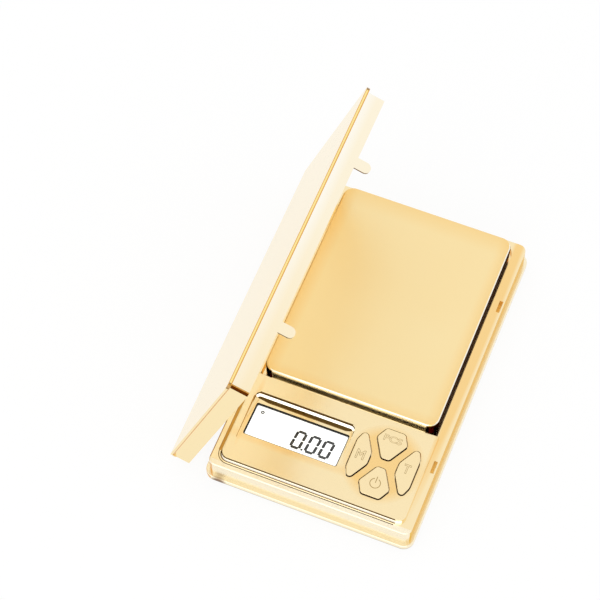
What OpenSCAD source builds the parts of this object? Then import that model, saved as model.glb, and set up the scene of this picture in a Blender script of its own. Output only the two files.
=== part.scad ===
// Digital pocket scale with a hinged cover, in millimetres.
// X runs across the scale, Y from its front to its back, Z up.
// The origin is the middle of the base tray's underside.

/* [Body] */
// width of the base tray's foot plate
body_w = 77; // [70:1:90]
// length of the base tray's foot plate
body_l = 125; // [118:1:140]
// thickness of the foot plate
tray_t = 2.2; // [2:0.1:2.4]
// step from the foot plate's edge in to the wall, front and sides
edge_step = 1.3; // [1:0.1:1.6]
// the same step at the back
edge_step_back = 1.0; // [0.8:0.1:1.4]
// height of the shoulder round the platform and the display panel
shoulder_z = 10; // [10:0.1:10.6]
// wall thickness of the top case
case_wall = 1.6; // [1.4:0.1:1.8]
// corner radius of the foot plate in plan
corner_r = 4; // [3:0.5:5]
// rounding along the top edge of the shoulder
shoulder_round = 0.6; // [0.3:0.1:0.9]

/* [Display panel] */
// height of the panel above the shoulder
panel_rise = 2; // [1.8:0.1:2.4]
// shoulder width beside the panel
panel_side = 3.3; // [3:0.1:3.8]
// shoulder width before the panel
panel_front = 3; // [2.4:0.1:3.6]
// length of the panel from front to back
panel_l = 35; // [34:0.5:37]
// thickness of the panel's top
panel_t = 1.6; // [1.4:0.1:1.7]
// corner radius of the panel in plan
panel_r = 3; // [2:0.5:4]

/* [Display] */
// panel between the display recess and the buttons
recess_gap = 2.1; // [1.6:0.1:2.6]
// length of the display recess
recess_l = 18.9; // [17.5:0.1:20]
// depth of the recess at its back edge
recess_d = 1.8; // [1.5:0.1:2]
// panel left of the recess
recess_side = 3.3; // [3:0.1:4]
// panel before the recess
recess_front = 8.9; // [8:0.1:10]
// recess floor left and right of the window pane
window_side = 1.15; // [0.9:0.05:1.6]
// length of the window pane
window_l = 13.1; // [12:0.1:14]
// thickness of the window pane
window_t = 0.8; // [0.6:0.1:1]
// gap round the window pane
window_gap = 0.2; // [0.1:0.05:0.3]
// width of the lip that carries the pane
window_lip = 1; // [0.8:0.1:1.4]
// thickness of the display glass
lcd_t = 2; // [1.6:0.1:2.2]

/* [Buttons] */
// middle of the button cluster, from the panel's right edge
cluster_side = 14.2; // [13.8:0.1:15]
// middle of the button cluster, from the panel's front edge
cluster_front = 18; // [17:0.1:19]
// length scale of the cluster's outline
cluster_scale = 1; // [0.9:0.02:1.02]
// height of the button tops above the panel
button_rise = 0.6; // [0.4:0.1:0.9]
// travel of a button
button_travel = 0.5; // [0.3:0.05:0.6]
// gap between a button and its opening
button_gap = 0.3; // [0.2:0.05:0.4]
// height of a key switch body
switch_h = 1.8; // [1.4:0.1:2]

/* [Platform] */
// gap between the platform and the case
platform_gap = 0.8; // [0.6:0.1:1]
// shoulder width beside the platform's well
well_side = 4.1; // [3.8:0.1:4.5]
// shoulder width behind the platform's well
well_back = 1.7; // [1.5:0.1:2]
// height of the platform above the panel
platform_rise = 3; // [3:0.1:3.5]
// thickness of the platform's sheet
platform_t = 0.8; // [0.6:0.1:1]
// corner radius of the platform in plan
platform_r = 4; // [3:0.5:5]
// rounding along the platform's top edge
platform_round = 0.6; // [0.4:0.1:0.8]
// travel of the platform under its full load
platform_travel = 0.4; // [0.2:0.05:0.45]
// length of the load cell
cell_l = 45; // [42:0.5:46]
// width of the load cell
cell_w = 9; // [8:0.5:10]
// height of the load cell
cell_h = 6; // [5.5:0.1:6.2]

/* [Cover] */
// height of the cover from its rim to its outer face
cover_h = 7.7; // [7.6:0.1:8.6]
// thickness of the cover's plate
cover_t = 1.2; // [1:0.1:1.4]
// thickness of the cover's walls
cover_wall = 1.2; // [1:0.1:1.4]
// radius of the rounded spine
spine_r = 5.5; // [4.5:0.1:5.8]
// corner radius of the plate at the free edge
cover_r = 2.5; // [2:0.5:3]
// angle at which the cover stands open
open_angle = 71; // [0:1:84]
// height of the hinge axis above the underside
hinge_z = 1.3; // [1.2:0.05:1.4]
// hinge axis in from the foot plate's left edge
hinge_in = 3; // [2.8:0.1:3.3]
// diameter of a hinge pin
pin_d = 1.5; // [1.2:0.1:1.6]
// outer radius of a hinge lug
lug_r = 1.7; // [1.6:0.05:1.9]
// width of a hinge lug
lug_w = 12; // [10:0.5:14]
// distance of the lugs and latch tabs from the middle
lug_y = 34; // [32:0.5:36]
// width of a latch tab
tab_w = 4.2; // [3.6:0.1:5]
// length of a latch tab beyond the rim
tab_l = 5.6; // [4.6:0.1:5.8]
// thickness of a latch tab
tab_t = 0.6; // [0.5:0.05:0.7]

/* [Battery] */
// diameter of a battery
battery_d = 10.5; // [10.1:0.1:10.6]
// length of a battery with its button
battery_l = 44.5; // [43.5:0.1:44.6]
// room for a contact at each end of the batteries
contact_room = 1.6; // [1.5:0.1:2.2]
// thickness of the battery door
door_t = 1.2; // [1:0.05:1.25]

/* [Feet and screws] */
// diameter of a foot
foot_d = 8; // [7:0.5:9]
// height of a foot below the underside
foot_h = 1; // [0.8:0.1:1.6]
// distance of the feet in from the foot plate's ends
foot_end = 6.5; // [6:0.1:7]
// thread diameter of a case screw
case_screw_d = 2; // [1.8:0.1:2.4]
// thread diameter of a board screw
board_screw_d = 1.6; // [1.4:0.1:1.8]
// thread diameter of a load cell screw
cell_screw_d = 3; // [2.6:0.1:3.2]

/* [Clearances] */
// gap between a hinge lug's bore and its pin
pin_fit = 0.05; // [0.02:0.01:0.1]
// gap between moving parts
move_gap = 0.3; // [0.25:0.05:0.35]
// gap between the closed cover's rim and the shoulder
rim_gap = 0.15; // [0.1:0.05:0.3]
// gap between a battery and its bay
battery_gap = 0.25; // [0.2:0.05:0.3]
// gap round the battery door
door_gap = 0.15; // [0.1:0.05:0.2]

/* [Hidden] */

e = 0.01;
// how far a cut runs on past what it cuts
reach = 5;
round_fn = 32;
circle_fn = 48;

half_w = body_w / 2;
half_l = body_l / 2;
wall_x = half_w - edge_step;
wall_y0 = -half_l + edge_step;
wall_y1 = half_l - edge_step_back;
wall_r = corner_r - edge_step;

// display panel
panel_z = shoulder_z + panel_rise;
panel_x = wall_x - panel_side;
panel_y0 = wall_y0 + panel_front;
panel_y1 = panel_y0 + panel_l;
panel_under = panel_z - panel_t;
hall_y1 = panel_y1 - case_wall;

// well and platform
well_x = wall_x - well_side;
well_y0 = panel_y1;
well_y1 = wall_y1 - well_back;
well_floor_t = 1.2;
skirt_z = shoulder_z - 0.8;
well_z = skirt_z - platform_travel - 0.8;
well_under = well_z - well_floor_t;
top_z = panel_z + platform_rise;
sheet_z = top_z - platform_t;
plat_x = well_x - platform_gap;
plat_y0 = well_y0 + platform_gap;
plat_y1 = well_y1 - platform_gap;

// plateau in the well, under the platform
roof_t = 1.2;
plateau_in = platform_t + 1.5;
plateau_x = plat_x - plateau_in;
plateau_y0 = plat_y0 + plateau_in;
plateau_y1 = plat_y1 - plateau_in;
plateau_z = sheet_z - 1.8;
plateau_under = plateau_z - roof_t;

// batteries, side by side across the scale
door_top = door_t + 0.1;
battery_z = door_top + 0.2 + battery_d / 2;
bay_y1 = plateau_y1 - roof_t;
battery_pitch = battery_d + 2 * battery_gap;
battery_y2 = bay_y1 - battery_gap - 0.1 - battery_d / 2;
battery_y1 = battery_y2 - battery_pitch;
bay_y0 = battery_y1 - battery_d / 2 - 0.45;
bay_x = battery_l / 2 + contact_room;
bay_wall = 1.2;
hump_x = bay_x + 0.5 + roof_t;
hump_y0 = bay_y0 - roof_t;
hump_under = battery_z + battery_d / 2 + 0.1;
hump_z = hump_under + 1;
bay_top = plateau_under - 0.4;
contact_t = 0.4;
spring_r = 3.4;
spring_tip = 2;
nub_l = 0.8;
nub_r = 2.6;
ends_l = bay_x - contact_t - battery_l / 2;

// battery door, flush with the underside and run out at the back
door_lap = 1;
door_x = bay_x + door_lap;
door_y0 = bay_y0 - 1.2;
tongue_w = 0.8;
tongue_z0 = 0.55;
tongue_z1 = door_t - 0.05;
grip_n = 3;
grip_w = 1.2;
grip_x = 8;
grip_t = 0.3;

// load cell, fixed at its front end
cell_z = 3.5;
cell_y1 = hump_y0 - 0.8;
cell_y0 = cell_y1 - cell_l;
cell_foot = 11;
cell_hole = 2.5;
cell_head_r = cell_screw_d * 0.9;
cell_head_h = 1;
cell_hole_r = cell_h * 0.36;
cell_hole_gap = 6;
cell_mid = (cell_y0 + cell_y1) / 2;
carrier_t = 1.2;
carrier_z = sheet_z - carrier_t;
carrier_arm = 8;
carrier_side = 6;
carrier_in = 2;
sink = 0.2;
screw_up = 1.5;
carrier_x = plateau_x - carrier_in;
carrier_y0 = plateau_y0 + carrier_in;
post_l = 10;
overload_r = 1.5;
overload_y = cell_y1 - post_l / 2;

// outlines of an upright and a sideways button about the middle of the cluster
cluster_x = panel_x - cluster_side;
cluster_y = panel_y0 + cluster_front;
tall_key = [[-1.5, 1.7], [1.5, 1.7], [5.6, 8.9], [3.4, 13.1], [-3.4, 13.1], [-5.6, 8.9]];
wide_key = [[5.1, -2.3], [8.7, -8.7], [10.3, -8.7], [11.6, -5.5], [11.6, 5.5],
  [10.3, 8.7], [8.7, 8.7], [5.1, 2.3]];

// window and display glass, on the floor that falls towards the back
recess_x0 = -panel_x + recess_side;
recess_w = cluster_x - wide_key[4][0] * cluster_scale - recess_gap - recess_x0;
recess_y0 = panel_y0 + recess_front;
fall = atan(recess_d / recess_l);
slope_l = recess_l / cos(fall);
slab_t = window_t + 0.4;
window_w = recess_w - 2 * window_side;
window_x0 = recess_x0 + window_side;
window_back = 3.5;
cove_r = 1.7;
cove_n = 6;
window_y0 = slope_l - window_l - window_back;
lcd_over = 1.3;
lcd_end = 0.8;
lcd_gap = 0.25;
strip_w = 2;

// circuit board
board_z = 4.6;
board_t = 1.2;
board_top = board_z + board_t;
board_x = panel_x - 2.9;
board_in = 4.9;
board_y0 = panel_y0 + board_in;
board_y1 = hall_y1 - 1.5;
board_post_r = 1.9;
board_head_r = 1.5;
chip_r = 5;
chip_t = 1;
board_head_h = 1.1;
board_holes = [
  [-board_x + 2.3, board_y0 + 1.4],
  [board_x - 1.7, board_y0 + 1.4],
  [-board_x + 2.8, board_y1 - 2.2],
  [board_x - 2.6, board_y1 - 2.2]
];

// buttons
button_round = 0.7;
button_edge = 0.25;
flange_w = 0.7;
flange_t = 0.75;
flange_z = panel_under - 0.15 - flange_t;
switch_w = 6;
switch_stem = 0.7;
stem_r = 1.7;
stem_top = board_top + switch_h + switch_stem;
plunger_r = 1.4;
tall_switch = 7.6;
wide_switch = 8.5;

// hinge
hinge_x = -half_w + hinge_in;
lug_gap = move_gap;
notch_in = lug_r + 0.4;
notch_top = hinge_z + lug_r + 0.4;
pin_end = 2;
pin_l = lug_w + 2 * pin_end;
housing_t = 1.2;
lug_recess = wall_x - 1.5;

// cover, given closed and then turned open
rim_z = shoulder_z + rim_gap;
cover_z = shoulder_z + cover_h;
spine_x = -half_w + spine_r;
spine_z = cover_z - spine_r;
strap_t = 1.2;
tab_step = 0.55;
slot_out = 0.15;
slot_end = 0.4;
tab_x = wall_x - cover_wall + tab_step - tab_t;
slot_x0 = tab_x - tab_step;
slot_x1 = tab_x + tab_t + slot_out;
slot_z = rim_z - tab_l - slot_end;
rim_r = 0.8 * cover_r;

// feet over the case screws
foot_x = (door_x + tongue_w + door_gap + half_w) / 2;
foot_y = half_l - foot_end;
foot_in = 0.4;
case_head_r = 1.9;
case_head_h = 0.9;
case_head_z = foot_in + 0.1;
case_screw_top = 6;
boss_r = 2.4;
rib_t = 1;
rib_h = 2;
rib_gap = 0.2;

// block with rounded corners in plan
module plan_block(x0, x1, y0, y1, z0, z1, r) {
  translate([0, 0, z0]) {
    for (x = [x0 + r, x1 - r], y = [y0 + r, y1 - r])
      translate([x, y, 0]) cylinder(h = z1 - z0, r = r, $fn = circle_fn);
    translate([x0 + r, y0, 0]) cube([x1 - x0 - 2 * r, y1 - y0, z1 - z0]);
    translate([x0, y0 + r, 0]) cube([x1 - x0, y1 - y0 - 2 * r, z1 - z0]);
  }
}

// the same block with its top edge rounded as well
module soft_block(x0, x1, y0, y1, z0, z1, r, edge) {
  steps = 3;
  hull() {
    plan_block(x0, x1, y0, y1, z0, z1 - edge, r, $fn = round_fn);
    for (i = [1 : steps], x = [x0 + r, x1 - r], y = [y0 + r, y1 - r]) {
      a = 90 * i / steps;
      translate([x, y, z1 - edge - e])
        cylinder(h = e + edge * sin(a), r = r - edge * (1 - cos(a)), $fn = round_fn);
    }
  }
}

module box(x0, x1, y0, y1, z0, z1) {
  translate([x0, y0, z0]) cube([x1 - x0, y1 - y0, z1 - z0]);
}

module post(x, y, z0, z1, r) {
  translate([x, y, z0]) cylinder(h = z1 - z0, r = r, $fn = circle_fn);
}

// rod along Y about the hinge axis
module hinge_rod(y, l, r) {
  translate([hinge_x, y + l / 2, hinge_z]) rotate([90, 0, 0])
    cylinder(h = l, r = r, $fn = circle_fn);
}

// places its children on the sloping floor of the display recess
module on_slope() {
  translate([0, recess_y0, panel_z]) rotate([-fall, 0, 0]) children();
}

// outline of one button about the middle of the cluster
module key_outline(points, grow) {
  offset(r = grow + button_round, $fn = round_fn)
    offset(delta = -button_round)
      scale(cluster_scale) polygon(points);
}

// floor of the base with its rim, bosses and battery bay
module base_tray() {
  color("gold")
  difference() {
    union() {
      soft_block(-half_w, half_w, -half_l, half_l, 0, tray_t, corner_r, 0.4);
      tray_rib();
      battery_walls();
      box(-cell_w / 2, cell_w / 2, cell_y0, cell_y0 + cell_foot, tray_t - e, cell_z);
    }
    hinge_notches();
    pin_cradles();
    door_way();
    for (y = [cell_y0 + cell_hole, cell_y0 + 3 * cell_hole]) {
      post(0, y, -e, 1.2, cell_head_r + 0.2);
      post(0, y, 1, cell_z + e, cell_screw_d / 2);
    }
    post(0, overload_y, -e, tray_t + e, overload_r);
    for (x = [-foot_x, foot_x], y = [-foot_y, foot_y]) {
      post(x, y, -e, foot_in, foot_d / 2);
      post(x, y, foot_in - e, case_head_z + case_head_h, case_head_r + 0.1);
      post(x, y, foot_in, tray_t + e, case_screw_d / 2 + 0.1);
    }
  }
}

// low rib that locates the top case
module tray_rib() {
  out_x = wall_x - case_wall - rib_gap;
  out_y0 = wall_y0 + case_wall + rib_gap;
  out_y1 = wall_y1 - case_wall - rib_gap;
  difference() {
    box(-out_x, out_x, out_y0, out_y1, tray_t - e, tray_t + rib_h);
    box(-out_x + rib_t, out_x - rib_t, out_y0 + rib_t, out_y1 - rib_t, tray_t - 1, tray_t + reach);
    for (s = [-1, 1]) {
      box(-half_w, hinge_x + notch_in + housing_t + rib_gap,
        s * lug_y - lug_w / 2 - 3, s * lug_y + lug_w / 2 + 3, tray_t, tray_t + reach);
      box(slot_x0 - 1.5, half_w, s * lug_y - tab_w, s * lug_y + tab_w, tray_t, tray_t + reach);
      for (y = [-foot_y, foot_y])
        post(s * foot_x, y, tray_t, tray_t + reach, boss_r + 1.2);
    }
  }
}

module battery_walls() {
  difference() {
    box(-bay_x - bay_wall, bay_x + bay_wall, bay_y0 - bay_wall, bay_y1 + 1, tray_t - e, bay_top);
    box(-bay_x, bay_x, bay_y0, bay_y1, tray_t - 1, bay_top + 1);
    box(-bay_x - 2, bay_x + 2, bay_y1 - 0.3, bay_y1 + 2, well_under - 0.2, bay_top + 1);
  }
}

// notches in the left edge for the hinge lugs
module hinge_notches() {
  for (s = [-1, 1])
    box(-half_w - 1, hinge_x + notch_in, s * lug_y - lug_w / 2 - lug_gap,
      s * lug_y + lug_w / 2 + lug_gap, -e, tray_t + reach);
}

// half-round seats for the hinge pins, closed by the top case
module pin_cradles() {
  for (s = [-1, 1]) {
    hinge_rod(s * lug_y, pin_l, pin_d / 2);
    box(hinge_x - pin_d / 2, hinge_x + pin_d / 2, s * lug_y - pin_l / 2,
      s * lug_y + pin_l / 2, hinge_z, tray_t + 1);
  }
}

// opening under the batteries with the rails of the door
module door_way() {
  box(-bay_x, bay_x, bay_y0, bay_y1, -e, tray_t + e);
  box(-door_x - door_gap, door_x + door_gap, door_y0 - door_gap, half_l + 1, -e, door_top);
  box(-door_x - tongue_w - door_gap, door_x + tongue_w + door_gap, door_y0 - door_gap,
    half_l + 1, tongue_z0 - 0.1, door_top);
}

// upper shell with the display panel and the well for the platform
module top_case() {
  color("gold")
  difference() {
    union() {
      difference() {
        union() {
          case_block();
          plateau_block();
        }
        case_hall();
      }
      difference() {
        display_slab();
        box(-half_w, half_w, -half_l, half_l, panel_under + 0.4, panel_z + reach);
      }
      for (p = board_holes)
        post(p[0], p[1], board_top, panel_under + 0.5, board_post_r);
      case_bosses();
      hinge_housings();
      latch_housings();
    }
    display_recess();
    key_openings();
    hinge_pockets();
    latch_slots();
    carrier_way();
    for (p = board_holes)
      post(p[0], p[1], board_top - e, panel_under - 0.6, board_screw_d / 2);
    for (x = [-foot_x, foot_x], y = [-foot_y, foot_y])
      post(x, y, tray_t - e, case_screw_top + 0.3, case_screw_d / 2);
  }
}

module case_block() {
  difference() {
    union() {
      soft_block(-wall_x, wall_x, wall_y0, wall_y1, tray_t, shoulder_z, wall_r, shoulder_round);
      soft_block(-panel_x, panel_x, panel_y0, panel_y1, shoulder_z - 1, panel_z, panel_r, 0.3);
      box(-well_x, well_x, panel_y1 - panel_r - 1, panel_y1, shoulder_z - 1, panel_z - 0.3);
    }
    plan_block(-well_x, well_x, well_y0, well_y1, well_z, panel_z + reach, platform_r + platform_gap);
    box(-well_x, well_x, well_y0, well_y0 + 2 * platform_r, well_z, panel_z + reach);
  }
}

module plateau_block() {
  plan_block(-plateau_x, plateau_x, plateau_y0, plateau_y1, well_z - 0.5, plateau_z, 2);
  plan_block(-hump_x, hump_x, hump_y0, plateau_y1, well_z - 0.5, hump_z, 2);
}

// room inside the shell
module case_hall() {
  in_x = wall_x - case_wall;
  in_y0 = wall_y0 + case_wall;
  in_y1 = wall_y1 - case_wall;
  box(-in_x, in_x, in_y0, in_y1, tray_t - e, well_under);
  box(-in_x, in_x, in_y0, hall_y1, tray_t, shoulder_z - case_wall);
  box(-panel_x + case_wall, panel_x - case_wall, panel_y0 + case_wall, hall_y1, tray_t, panel_under);
  box(-plateau_x + roof_t, plateau_x - roof_t, plateau_y0 + roof_t, bay_y1, tray_t, plateau_under);
  box(-hump_x + roof_t, hump_x - roof_t, hump_y0 + roof_t, bay_y1, tray_t, hump_under);
}

// solid under the sloping floor of the display recess
module display_slab() {
  on_slope()
    box(recess_x0 - 1.2, recess_x0 + recess_w + 1.2, -1.5, slope_l + 1.2, -slab_t, panel_t);
}

module display_recess() {
  on_slope() {
    recess_cut();
    box(window_x0 - window_gap, window_x0 + window_w + window_gap,
      window_y0 - window_gap, window_y0 + window_l + window_gap, -window_t, 1);
    box(window_x0 + window_lip, window_x0 + window_w - window_lip,
      window_y0 + window_lip, window_y0 + window_l - window_lip, -slab_t - 1, 1);
    box(window_x0 - lcd_over - lcd_gap, window_x0 + window_w + lcd_over + lcd_gap,
      window_y0 - lcd_end - lcd_gap, window_y0 + window_l + lcd_end + lcd_gap,
      -slab_t - lcd_t, -slab_t);
  }
}

// floor of the recess, running up into its back wall in a hollow curve
module recess_cut() {
  top = recess_d + 3;
  cove = [for (i = [0 : cove_n])
    [slope_l - cove_r + cove_r * sin(90 * i / cove_n), cove_r - cove_r * cos(90 * i / cove_n)]];
  translate([recess_x0, 0, 0]) rotate([90, 0, 90]) linear_extrude(recess_w)
    polygon(concat([[0, top], [0, 0]], cove, [[slope_l, top]]));
}

module key_openings() {
  translate([cluster_x, cluster_y, panel_under - 1]) linear_extrude(panel_t + 2) {
    for (s = [-1, 1]) {
      scale([1, s]) key_outline(tall_key, button_gap);
      scale([s, 1]) key_outline(wide_key, button_gap);
    }
  }
}

module case_bosses() {
  for (x = [-foot_x, foot_x]) {
    post(x, -foot_y, tray_t, shoulder_z - 0.5, boss_r);
    post(x, foot_y, tray_t, well_under + 0.5, boss_r);
  }
}

// boxes that close the case behind the hinge lugs
module hinge_housings() {
  for (s = [-1, 1]) {
    y0 = s * lug_y - lug_w / 2 - lug_gap - housing_t;
    y1 = s * lug_y + lug_w / 2 + lug_gap + housing_t;
    box(-wall_x + 1, -lug_recess + housing_t, y0, y1, tray_t, shoulder_z - 0.5);
    box(-wall_x + 1, hinge_x + notch_in + housing_t, y0, y1, tray_t, notch_top + housing_t);
  }
}

module hinge_pockets() {
  for (s = [-1, 1]) {
    y0 = s * lug_y - lug_w / 2 - lug_gap;
    y1 = s * lug_y + lug_w / 2 + lug_gap;
    box(-half_w - 1, -lug_recess, y0, y1, tray_t - e, shoulder_z + e);
    box(-half_w - 1, hinge_x + notch_in, y0, y1, tray_t - e, notch_top);
  }
}

module latch_housings() {
  for (s = [-1, 1])
    box(slot_x0 - 1, wall_x - 0.5, s * lug_y - tab_w / 2 - 1.3, s * lug_y + tab_w / 2 + 1.3,
      slot_z - 1, shoulder_z - 1);
}

module latch_slots() {
  for (s = [-1, 1])
    box(slot_x0, slot_x1, s * lug_y - tab_w / 2 - move_gap, s * lug_y + tab_w / 2 + move_gap,
      slot_z, shoulder_z + e);
}

// opening in the plateau for the foot of the platform's carrier
module carrier_way() {
  box(-cell_w / 2 - 0.8, cell_w / 2 + 0.8, cell_y1 - post_l - 0.8, cell_y1 + 0.4,
    plateau_under - 1, plateau_z + 1);
}

// cover with its rounded spine on the left, drawn closed and turned open
module cover() {
  color("gold")
  translate([hinge_x, 0, hinge_z]) rotate([0, -open_angle, 0]) translate([-hinge_x, 0, -hinge_z]) {
    difference() {
      union() {
        cover_plate();
        cover_rim();
        for (s = [-1, 1]) {
          hinge_rod(s * lug_y, lug_w, lug_r);
          lug_strap(s * lug_y);
          latch_tab(s * lug_y);
        }
      }
      for (s = [-1, 1])
        hinge_rod(s * lug_y, lug_w + 1, pin_d / 2 + pin_fit);
    }
  }
}

// solid with the outer section of the cover, moved in by d
module spine_block(d, x1, y0, y1, z0) {
  translate([spine_x, y1, spine_z]) rotate([90, 0, 0])
    cylinder(h = y1 - y0, r = spine_r - d, $fn = 64);
  box(spine_x, x1, y0, y1, z0, cover_z - d);
  box(-half_w + d, spine_x, y0, y1, z0, spine_z);
}

module cover_plate() {
  intersection() {
    difference() {
      spine_block(0, half_w, -half_l, half_l, rim_z);
      spine_block(cover_t, half_w + 1, -half_l - 1, half_l + 1, rim_z - 1);
    }
    union() {
      plan_block(-half_w - 1 - cover_r, half_w, -half_l, half_l, rim_z - 1, cover_z + 1, cover_r);
      box(-half_w - 1, 0, -half_l, half_l, rim_z - 1, cover_z + 1);
    }
  }
}

module cover_rim() {
  w = cover_wall;
  difference() {
    intersection() {
      spine_block(0, wall_x, wall_y0, wall_y1, rim_z);
      union() {
        plan_block(-half_w, wall_x, wall_y0, wall_y1, rim_z, cover_z, rim_r);
        box(-half_w, 0, wall_y0, wall_y1, rim_z, cover_z);
      }
    }
    spine_block(cover_t, wall_x - w, wall_y0 + w, wall_y1 - w, rim_z - 1);
  }
}

// strap from the spine down to a hinge lug
module lug_strap(y) {
  barrel_x = hinge_x - lug_r;
  translate([0, y + lug_w / 2, 0]) rotate([90, 0, 0]) linear_extrude(lug_w)
    polygon([
      [-half_w, spine_z - cover_t], [-half_w, rim_z], [barrel_x, hinge_z],
      [barrel_x + strap_t, hinge_z], [-half_w + cover_t, rim_z], [-half_w + cover_t, spine_z - cover_t]
    ]);
}

// tongue on the rim of the free edge, with a rounded tip
module latch_tab(y) {
  tip = tab_w / 2;
  z0 = rim_z - tab_l;
  box(tab_x, tab_x + tab_t, y - tip, y + tip, z0 + tip, cover_z - cover_t);
  translate([tab_x, y, z0 + tip]) rotate([0, 90, 0]) cylinder(h = tab_t, r = tip, $fn = circle_fn);
}

module hinge_pins() {
  color("silver")
  for (s = [-1, 1])
    hinge_rod(s * lug_y, pin_l, pin_d / 2);
}

// sheet metal tray that carries the load
module platform_tray() {
  color("gold")
  difference() {
    soft_block(-plat_x, plat_x, plat_y0, plat_y1, skirt_z, top_z, platform_r, platform_round);
    plan_block(-plat_x + platform_t, plat_x - platform_t, plat_y0 + platform_t,
      plat_y1 - platform_t, skirt_z - 1, sheet_z, platform_r - platform_t);
  }
}

// frame under the tray with its foot on the load cell
module platform_carrier() {
  color("dimgray")
  difference() {
    union() {
      for (y = [carrier_y0, cell_y1 - carrier_arm])
        box(-carrier_x, carrier_x, y, y + carrier_arm, carrier_z, sheet_z);
      box(-cell_w, cell_w, carrier_y0, cell_y1, carrier_z, sheet_z);
      for (x = [-carrier_x, carrier_x - carrier_side])
        box(x, x + carrier_side, carrier_y0, cell_y1, carrier_z, sheet_z);
      box(-cell_w / 2, cell_w / 2, cell_y1 - post_l, cell_y1, cell_z + cell_h, sheet_z);
    }
    for (y = [cell_y1 - cell_hole, cell_y1 - 3 * cell_hole]) {
      post(0, y, cell_z, sheet_z + 1, cell_screw_d / 2);
      post(0, y, sheet_z - cell_head_h - sink, sheet_z + 1, cell_head_r + sink);
    }
  }
}

module carrier_screws() {
  color("silver")
  for (y = [cell_y1 - cell_hole, cell_y1 - 3 * cell_hole]) {
    post(0, y, sheet_z - cell_head_h - sink, sheet_z - sink, cell_head_r);
    post(0, y, cell_z + screw_up, sheet_z - cell_head_h, cell_screw_d / 2);
  }
}

// bending beam with its pair of joined holes
module load_cell() {
  color("lightgray")
  difference() {
    box(-cell_w / 2, cell_w / 2, cell_y0, cell_y1, cell_z, cell_z + cell_h);
    for (y = [cell_mid - cell_hole_gap / 2, cell_mid + cell_hole_gap / 2])
      translate([-cell_w, y, cell_z + cell_h / 2]) rotate([0, 90, 0])
        cylinder(h = 2 * cell_w, r = cell_hole_r, $fn = circle_fn);
    box(-cell_w, cell_w, cell_mid - cell_hole_gap / 2, cell_mid + cell_hole_gap / 2,
      cell_z + cell_h / 2 - 1, cell_z + cell_h / 2 + 1);
    for (y = [cell_y0 + cell_hole, cell_y0 + 3 * cell_hole,
        cell_y1 - cell_hole, cell_y1 - 3 * cell_hole])
      post(0, y, cell_z - 1, cell_z + cell_h + 1, cell_screw_d / 2);
  }
}

module cell_screws() {
  color("silver")
  for (y = [cell_y0 + cell_hole, cell_y0 + 3 * cell_hole]) {
    post(0, y, 0.2, 1.2, cell_head_r);
    post(0, y, 1.1, cell_z + cell_h - 1, cell_screw_d / 2);
  }
}

// stop under the free end of the load cell
module overload_screw() {
  color("silver")
  difference() {
    post(0, overload_y, 0.3, cell_z - platform_travel - 0.05, overload_r);
    translate([0, overload_y, 0]) cylinder(h = 1.2, r = 0.8, $fn = 6);
  }
}

module circuit_board() {
  color("darkgreen")
  difference() {
    box(-board_x, board_x, board_y0, board_y1, board_z, board_top);
    for (p = board_holes)
      post(p[0], p[1], board_z - 1, board_top + 1, board_screw_d / 2);
  }
}

module board_screws() {
  color("silver")
  for (p = board_holes) {
    post(p[0], p[1], board_z - board_head_h, board_z, board_head_r);
    post(p[0], p[1], board_z - e, panel_under - 1, board_screw_d / 2);
  }
}

// sealed chip under the board
module controller() {
  color("black")
  post(-board_x / 3, (board_y0 + board_y1) / 2, board_z - chip_t, board_z, chip_r);
}

module key_switches() {
  color("dimgray")
  translate([cluster_x, cluster_y, board_top])
  for (p = [[0, tall_switch], [0, -tall_switch], [wide_switch, 0], [-wide_switch, 0]])
    translate([p[0] * cluster_scale, p[1] * cluster_scale, 0]) {
      translate([-switch_w / 2, -switch_w / 2, 0]) cube([switch_w, switch_w, switch_h]);
      cylinder(h = switch_h + switch_stem, r = stem_r, $fn = circle_fn);
    }
}

module lcd_module() {
  color("white")
  on_slope()
    box(window_x0 - lcd_over, window_x0 + window_w + lcd_over, window_y0 - lcd_end,
      window_y0 + window_l + lcd_end, -slab_t - lcd_t, -slab_t);
}

// conductive strip between the board and the display glass
module lcd_connector() {
  y0 = recess_y0 + window_y0;
  y1 = y0 + strip_w;
  drop0 = (slab_t + lcd_t) / cos(fall) + (y0 - recess_y0) * tan(fall);
  drop1 = drop0 + (y1 - y0) * tan(fall);
  color("gray")
  translate([window_x0 + window_lip, 0, 0]) rotate([90, 0, 90])
    linear_extrude(window_w - 2 * window_lip)
    polygon([[y0, board_top], [y1, board_top], [y1, panel_z - drop1], [y0, panel_z - drop0]]);
}

module lcd_window() {
  color("white", 0.4)
  on_slope()
    box(window_x0, window_x0 + window_w, window_y0, window_y0 + window_l, -window_t, 0);
}

// button cap with its flange and plunger, given on the cluster's middle
module key_body(points, p) {
  color("gold")
  translate([cluster_x, cluster_y, 0]) {
    translate([0, 0, flange_z]) linear_extrude(flange_t) key_outline(points, flange_w);
    translate([0, 0, flange_z + flange_t - e])
      linear_extrude(panel_z + button_rise - button_edge - flange_z - flange_t + e)
        key_outline(points, 0);
    translate([0, 0, panel_z + button_rise - button_edge - e]) linear_extrude(button_edge + e)
      key_outline(points, -button_edge);
    post(p[0] * cluster_scale, p[1] * cluster_scale, stem_top + button_travel + 0.05,
      flange_z + e, plunger_r);
  }
}

module button_pieces() {
  key_body(tall_key, [0, tall_switch]);
}

module button_power() {
  key_body([for (p = tall_key) [p[0], -p[1]]], [0, -tall_switch]);
}

module button_tare() {
  key_body(wide_key, [wide_switch, 0]);
}

module button_mode() {
  key_body([for (p = wide_key) [-p[0], p[1]]], [-wide_switch, 0]);
}

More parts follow.
